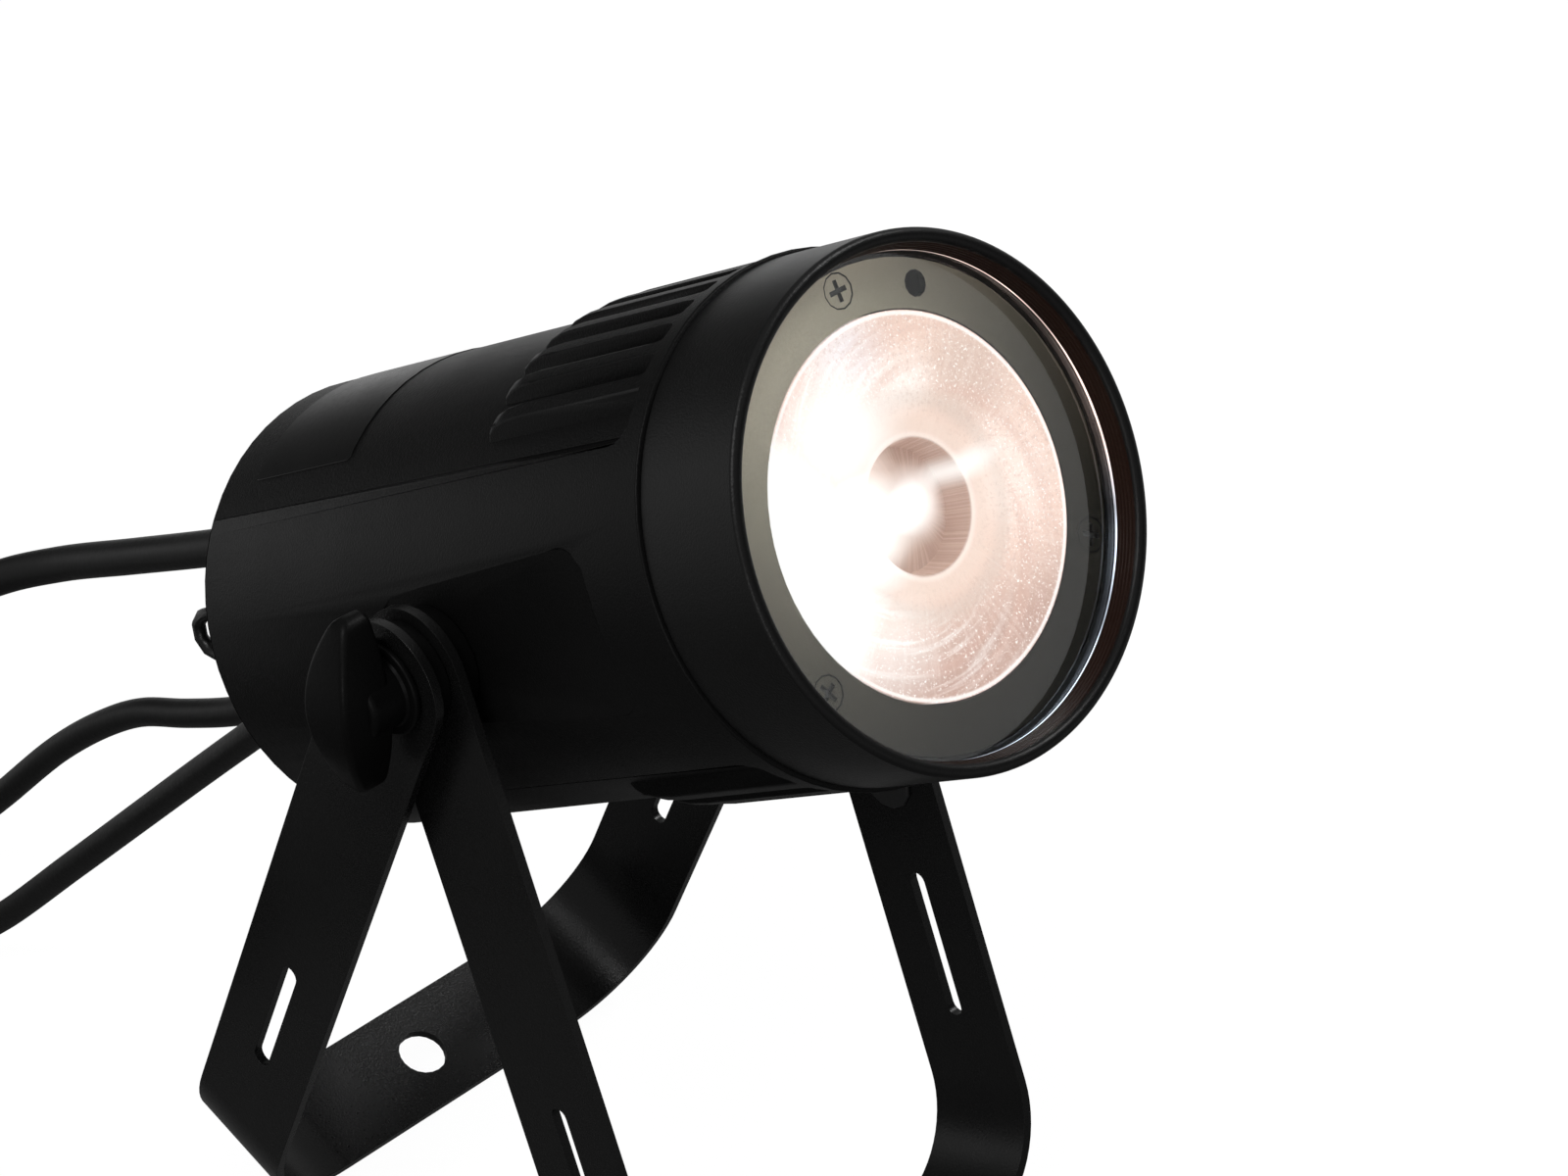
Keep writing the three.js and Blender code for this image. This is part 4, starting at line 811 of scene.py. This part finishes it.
make_camera()
mains_cord()
data_cord("a", DATA_ROUTE_A, DATA_EXIT_A, DATA_RELIEF)
data_cord("b", DATA_ROUTE_B, DATA_EXIT_B, SHORT_DATA_RELIEF)


# Lamp head.


EDGE_STEPS = 4
RIM_STEPS = 16
KNOB_EDGE_STEPS = 3
KNOB_HUB_STEPS = 6


def arc(centre, radii, start, end, steps):
    """Points [r, s] of an elliptic arc, with angles in degrees."""
    points = []
    for i in range(steps + 1):
        turn = math.radians(start + (end - start) * i / steps)
        points.append((centre[0] + radii[0] * math.cos(turn), centre[1] + radii[1] * math.sin(turn)))
    return points


THREADS = 5
THREAD_SHARES = ((0.15, 0), (0.4, 1), (0.6, 1), (0.85, 0))


def threads(start, end, depth):
    """Fine grooves cut outward into a bore between two [r, s] points."""
    points = []
    for i in range(THREADS):
        for share, deep in THREAD_SHARES:
            t = (i + share) / THREADS
            cut = deep * depth
            points.append((start[0] + (end[0] - start[0]) * t + cut, start[1] + (end[1] - start[1]) * t))
    return points


def recolour(piece, material, chosen):
    """Gives a material to the faces whose radius and height on the lamp, in mm, are chosen."""
    piece.data.materials.append(material)
    for face in piece.data.polygons:
        place = INTO_LAMP @ face.center / MM
        if chosen(math.hypot(place.x, place.y), place.z):
            face.material_index = len(piece.data.materials) - 1


def front_ring():
    """The ring round the nose: rounded rim, threaded bore with a darker paint tinted brown, a painted reflection
    of the lens's warm light, and a lit bead on its lip.
    """
    back = SEAM + SEAM_SHOWN
    edge = 0.25
    thread = 0.3
    foot = GLASS_FRONT + GAP
    bead = 0.35
    slack = 0.1
    middle = (RING_R + RIM_R) / 2
    half = (RING_R - RIM_R) / 2
    crest = RING_FRONT - RIM_ROUND
    profile = [
        (RING_BORE_R, back),
        *arc((RING_R - edge, back + edge), (edge, edge), -90, 0, EDGE_STEPS),
        *arc((middle, crest), (half, RIM_ROUND), 0, 180, RIM_STEPS),
        *threads((RIM_R, crest - thread), (LIP_R, foot + bead), thread),
        (LIP_R, foot + bead),
        (LIP_R, foot),
        (RING_BORE_R, foot),
    ]
    ring = turned("front_ring", "turned", profile, LAMP, RING_PAINT)
    # The threaded bore takes the brown-tinted paint, a painted reflection of the lens's warm light.
    recolour(ring, BORE_PAINT_AND_REFLECTION, lambda r, s: r < RIM_R + thread and foot + bead < s < crest)
    recolour(ring, LIT_EDGE, lambda r, s: r < LIP_R + slack and foot < s < foot + bead)


def front_glass():
    edge = 0.4
    profile = [
        (0, GLASS_BACK), (GLASS_R, GLASS_BACK), (GLASS_R, GLASS_FRONT - edge),
        (GLASS_R - edge, GLASS_FRONT), (0, GLASS_FRONT),
    ]
    disc = turned("front_glass", "disc", profile, LAMP, GLASS)
    recolour(disc, LIT_EDGE, lambda r, s: r > GLASS_R - edge)


def lens():
    """The optic: a flared cup with a pocket in its foot and a shallow saddle and a domed well in its face."""
    front = PLATE_FRONT - GAP / 2
    height = 34
    foot = front - height
    foot_r = 12
    flare_r = 34.4
    pocket = 6
    flange = 2.5
    saddle_depth = 0.9
    well_depth = 6.5
    dome = 2.4
    taper = 1
    steps = 12
    side = []
    for i in range(steps + 1):
        t = i / steps
        r = foot_r * (1 - t) ** 2 + t * (1 - t) * (foot_r + flare_r) + flare_r * t * t
        s = foot + 2 * t * (1 - t) * height / 3 + (height - flange) * t * t
        side.append((r, s))
    well = []
    for i in range(steps + 1):
        share = 1 - i / steps
        well.append(((WELL_R - taper) * share, front - well_depth + dome * (1 - share * share)))
    profile = [
        (0, foot + pocket), (pocket, foot + pocket), (pocket, foot), *side,
        (LENS_R, front - flange), (LENS_R, front), (SADDLE_R, front),
        ((SADDLE_R + WELL_R) / 2, front - saddle_depth / 3), (WELL_R, front - saddle_depth), *well,
    ]
    turned("lens", "optic", profile, LAMP, LENS, sides=128)


# The sleeve's grooves, and its plain tip as a share of the pitch of one.
RELIEF_GROOVES = 7
PLAIN_TIP_SHARE = 0.5
GROOVE_SHARES = ((0.1, 0), (0.6, 0), (0.68, 1), (0.98, 1))


def strain_relief(node, exit_place, size):
    """A tapered sleeve with flexing grooves toward its tip, a flange on the cover and one inside it."""
    groove_depth = 0.9
    tip_edge = 0.3
    edge = 0.6
    shoulder = COVER_BACK - GAP
    inside = COVER_BACK + COVER_DEPTH
    neck_end = shoulder - size["flange_depth"]
    tip_end = neck_end - size["length"]
    pitch = size["length"] / (RELIEF_GROOVES + PLAIN_TIP_SHARE)
    profile = [(0, tip_end), (size["tip"] - tip_edge, tip_end)]
    for i in reversed(range(RELIEF_GROOVES)):
        low = neck_end - (i + 1) * pitch
        share = (neck_end - low) / size["length"]
        r = size["base"] + (size["tip"] - size["base"]) * share
        profile += [(r - groove_depth * deep, low + part * pitch) for part, deep in GROOVE_SHARES]
    profile += [
        (size["base"], neck_end),
        *arc((size["flange"] - edge, neck_end + edge), (edge, edge), -90, 0, EDGE_STEPS),
        (size["flange"], shoulder), (size["neck"], shoulder),
        (size["neck"], inside), (size["flange"], inside),
        (size["flange"], inside + size["flange_depth"]), (0, inside + size["flange_depth"]),
    ]
    place = LAMP @ Matrix.Translation(Vector((*exit_place, 0)) * MM)
    turned(node, "sleeve", profile, place, RUBBER, sides=48)


# The plate's and its screws' faces show the plate's painted sheen of light, and what lies deeper is dark.
PAINTED_SHEEN_DEPTH = 0.05


def plate():
    piece = finished("lens_plate", PLATE_PAINT_AND_SHEEN, bevel=0, joined=False)
    recolour(piece, RING_PAINT, lambda r, s: s < PLATE_FRONT - PAINTED_SHEEN_DEPTH)


def plate_screws():
    for number in (1, 2, 3):
        screw = finished(f"plate_screw_{number}", PLATE_PAINT_AND_SHEEN, bevel=0.08)
        top = max((INTO_LAMP @ vertex.co).z for vertex in screw.data.vertices) / MM
        recolour(screw, BLACK_STEEL, lambda r, s: s < top - PAINTED_SHEEN_DEPTH)


# The label's outer face is drawn in, so that the film shows thinner than its solid.
LABEL_R = 47.6
LABEL_THINNED = 0.14


def label():
    film = finished("label", LABEL_FILM, bevel=0)
    for vertex in film.data.vertices:
        place = INTO_LAMP @ vertex.co
        r = math.hypot(place.x, place.y)
        if r > LABEL_R * MM:
            thin = (r - LABEL_THINNED * MM) / r
            vertex.co = LAMP @ Vector((place.x * thin, place.y * thin, place.z))


front_ring()
front_glass()
lens()
strain_relief("mains_strain_relief", MAINS_EXIT, MAINS_RELIEF)
strain_relief("data_strain_relief_a", DATA_EXIT_A, DATA_RELIEF)
strain_relief("data_strain_relief_b", DATA_EXIT_B, SHORT_DATA_RELIEF)

finished("housing", CASTING, bevel=0.45, sharp=13.5, weighted=True)
finished("rear_cover", CASTING, bevel=0.25)
plate()
label()
finished("display_window", WINDOW, bevel=0.2)
finished("safety_eyelet", STEEL_PAINT, bevel=0, sharp=SHARP_BAR)
plate_screws()
for number in (1, 2, 3, 4):
    finished(f"cover_screw_{number}", BLACK_STEEL, bevel=0.15)
    finished(f"button_{number}", RUBBER, bevel=0.3)
for side in ("left", "right"):
    finished(f"body_spacer_{side}", PLASTIC, bevel=0.3)
    finished(f"leg_spacer_{side}", PLASTIC, bevel=0.3)
    finished(f"bracket_pad_{side}", RUBBER, bevel=0.15)

# Knobs. Distances run out from the lamp's middle plane.
KNOB_FOOT = 61.05
KNOB_FLANGE_R = 9.6
KNOB_FLANGE = 1.4
KNOB_HUB_R = 7.4
WING_BACK = 64.8
WING_TIP = 71
WING_MIDDLE = 77
WING_HALF = 19
WING_TIP_HALF = 1.8
WING_MIDDLE_HALF = 6
WING_ROUND = 1.3
END_INSET_SHARE = 0.9
CORNER_SHARE = 0.7
STUD_R = 3.8


def wing(side, place):
    """A wing that is thick in the middle and thin at its ends, with rounded edges, as rings along its
    length."""
    steps = 40
    corner_steps = 5
    vertices = []
    for i in range(steps + 1):
        along = -WING_HALF + 2 * WING_HALF * i / steps
        share = 1 - (along / WING_HALF) ** 2
        near_end = min(1.0, math.sqrt(max(0.0, (WING_HALF - abs(along)) / WING_ROUND)))
        inset = WING_ROUND * (1 - near_end) * END_INSET_SHARE
        half = WING_TIP_HALF + (WING_MIDDLE_HALF - WING_TIP_HALF) * share - inset
        back = WING_BACK + inset
        front = WING_TIP + (WING_MIDDLE - WING_TIP) * share - inset
        r = min(WING_ROUND, half * CORNER_SHARE)
        corners = ((half, back, -90), (half, front, 0), (-half, front, 90), (-half, back, 180))
        for wide, out, start in corners:
            cy = wide - math.copysign(r, wide)
            cx = out + (r if out == back else -r)
            for k in range(corner_steps + 1):
                turn = math.radians(start + 90 * k / corner_steps)
                spot = Vector((side * (cx + r * math.sin(turn)), cy + r * math.cos(turn), along))
                vertices.append(place @ (spot * MM))
    ring = 4 * (corner_steps + 1)
    faces = [tuple(range(ring)), tuple(range(steps * ring, (steps + 1) * ring))]
    for i in range(steps):
        for k in range(ring):
            n = (k + 1) % ring
            faces.append((i * ring + k, i * ring + n, (i + 1) * ring + n, (i + 1) * ring + k))
    return vertices, faces


def knob(name, side):
    """Wing, hub and flange, on the knob's own body."""
    node = "knob_" + name
    place = Matrix.Translation(PIVOT)
    edge = 0.5
    fillet = 0.4
    hub_round = 1.4
    flange_r = KNOB_FLANGE_R - edge
    flange_front = KNOB_FOOT + KNOB_FLANGE
    seat = WING_TIP - 1
    profile = [
        (STUD_R + GAP, KNOB_FOOT), *arc((flange_r, KNOB_FOOT + edge), (edge, edge), -90, 0, KNOB_EDGE_STEPS),
        *arc((flange_r, flange_front - edge), (edge, edge), 0, 90, KNOB_EDGE_STEPS),
        (KNOB_HUB_R + fillet, flange_front), (KNOB_HUB_R, flange_front + edge),
        *arc((KNOB_HUB_R - hub_round, WING_TIP - hub_round), (hub_round, hub_round), 0, 90, KNOB_HUB_STEPS),
        (0, WING_TIP), (0, seat), (STUD_R + GAP, seat),
    ]
    vertices, faces = wing(side, place)
    stand_in(add_object(node + "_wing", vertices, faces, PLASTIC, SHARP_BAR), node)
    turned(node, "hub", profile, place @ Matrix.Rotation(side * math.pi / 2, 4, "Y"), PLASTIC, sides=64)


knob("left", -1)
knob("right", 1)
finished("outer_bracket", STEEL_PAINT, bevel=0.35)
finished("inner_bracket", STEEL_PAINT, bevel=0.35)

# Hidden pieces keep their CAD forms.
HIDDEN = {
    "glass_seal": RUBBER, "lens_holder": PLASTIC, "led_board": BOARD, "led_emitter": TAPE,
    "heat_spreader": ALUMINIUM, "power_board": BOARD, "power_transformer": TAPE, "power_capacitor": PLASTIC,
    "driver_board": BOARD, "driver_coil": BRASS, "pivot_insert_left": BRASS, "pivot_insert_right": BRASS,
    "knob_stud_left": BRIGHT_STEEL, "knob_stud_right": BRIGHT_STEEL,
}
for node, material in HIDDEN.items():
    materials = frame["nodes"][node].data.materials
    materials.clear()
    materials.append(material)


# Studio: white floor and surroundings, soft lamps.

# What glossy and diffuse rays see of the room: a level, with darker gaps behind the lamp and to its front and
# a bright panel behind it to the left. Each is a direction, the cosines where it starts and is full, and its
# level.
ROOM_GLOSSY = 0.8
ROOM_DIFFUSE = 0.8
ROOM_GAP = ((0.13, 0.97, 0.2), 0.83, 0.97, -0.72)
ROOM_FRONT = ((0.62, -0.77, 0.18), 0.75, 0.97, -0.75)
ROOM_PANEL = ((-0.5, 0.86, 0.07), 0.93, 0.99, 0.9)
FLOOR_SEEN = 0.97
# What glossy rays see of the floor holds a painted shadow: this level near the lamp and the next far off, between
# these distances in metres.
FLOOR_NEAR = 0.16
FLOOR_FAR = 0.95
FLOOR_SHADE = (0.22, 0.85)
FLOOR_HALF = 4.0
FLOOR_PAPER = 0.9
FLOOR_DULLNESS = 0.9

# Square lamps: direction from the pivot, size and power.
SOFTBOX_DISTANCE = 1.5
SOFTBOXES = {
    "top_box": ((-0.6, -0.12, 0.78), 0.6, 20),
    "right_box": ((0.59, -0.3, 0.75), 0.3, 16),
    "front_box": ((-0.79, -0.6, 0.14), 0.35, 6),
}


class Room(Nodes):
    """The world's or the floor's node tree, which tells rays apart."""

    def __init__(self, tree):
        super().__init__(tree)
        self.path = tree.nodes.new("ShaderNodeLightPath").outputs

    def seen(self):
        return self.top(self.path["Is Camera Ray"], self.path["Is Transmission Ray"])

    def glossy(self, level):
        return self.times(self.path["Is Glossy Ray"], level)

    def lobe(self, direction, place):
        towards, start, full, level = place
        near = self.node("VectorMath", {"operation": "DOT_PRODUCT"})
        self.feed(near.inputs[0], direction)
        near.inputs[1].default_value = Vector(towards).normalized()
        return self.smooth(near.outputs["Value"], start, full, 0, level)


def make_world():
    world = bpy.data.worlds.new("studio")
    world.use_nodes = True
    bpy.context.scene.world = world
    nodes = Room(world.node_tree)
    background = world.node_tree.nodes["Background"]
    background.inputs["Color"].default_value = grey(1)
    direction = nodes.node("TexCoord").outputs["Generated"]
    room = ROOM_GLOSSY
    for place in (ROOM_GAP, ROOM_FRONT, ROOM_PANEL):
        room = nodes.plus(nodes.lobe(direction, place), room)
    scattered = nodes.times(nodes.path["Is Diffuse Ray"], ROOM_DIFFUSE)
    level = nodes.top(nodes.seen(), nodes.top(nodes.glossy(room), scattered))
    nodes.feed(background.inputs["Strength"], level)


def make_floor():
    material = bpy.data.materials.new("floor_white")
    material.use_nodes = True
    tree = material.node_tree
    nodes = Room(tree)
    paper = tree.nodes["Principled BSDF"]
    paper.inputs["Base Color"].default_value = grey(FLOOR_PAPER)
    paper.inputs["Roughness"].default_value = FLOOR_DULLNESS
    paper.inputs["Specular IOR Level"].default_value = 0.0
    away = nodes.node("VectorMath", {"operation": "LENGTH"})
    nodes.feed(away.inputs[0], nodes.node("TexCoord").outputs["Object"])
    # Glossy rays see the floor's glow dimmed near the lamp, a painted shadow.
    level = nodes.smooth(away.outputs["Value"], *FLOOR_SHADE, FLOOR_NEAR, FLOOR_FAR)
    glow = nodes.node("Emission", Strength=nodes.top(nodes.seen(), nodes.glossy(level)))
    mix = nodes.node("MixShader", Fac=nodes.top(nodes.times(nodes.seen(), FLOOR_SEEN), nodes.glossy(1)))
    tree.links.new(paper.outputs["BSDF"], mix.inputs[1])
    tree.links.new(glow.outputs["Emission"], mix.inputs[2])
    tree.links.new(mix.outputs["Shader"], tree.nodes["Material Output"].inputs["Surface"])
    half = FLOOR_HALF
    corners = [(-half, -half, 0), (half, -half, 0), (half, half, 0), (-half, half, 0)]
    mesh = bpy.data.meshes.new("floor")
    mesh.from_pydata(corners, [], [(0, 1, 2, 3)])
    mesh.materials.append(material)
    floor = bpy.data.objects.new("floor", mesh)
    bpy.context.scene.collection.objects.link(floor)


def softbox(name, direction, size, power):
    """A square area lamp that looks at the pivot from that direction."""
    data = bpy.data.lights.new(name, "AREA")
    data.size = size
    data.energy = power
    lamp = bpy.data.objects.new(name, data)
    bpy.context.scene.collection.objects.link(lamp)
    away = Vector(direction).normalized()
    lamp.location = PIVOT + away * SOFTBOX_DISTANCE
    lamp.rotation_mode = "QUATERNION"
    lamp.rotation_quaternion = away.to_track_quat("Z", "Y")


make_world()
make_floor()
for name, (direction, size, power) in SOFTBOXES.items():
    softbox(name, direction, size, power)

bpy.context.scene.view_settings.view_transform = "Standard"
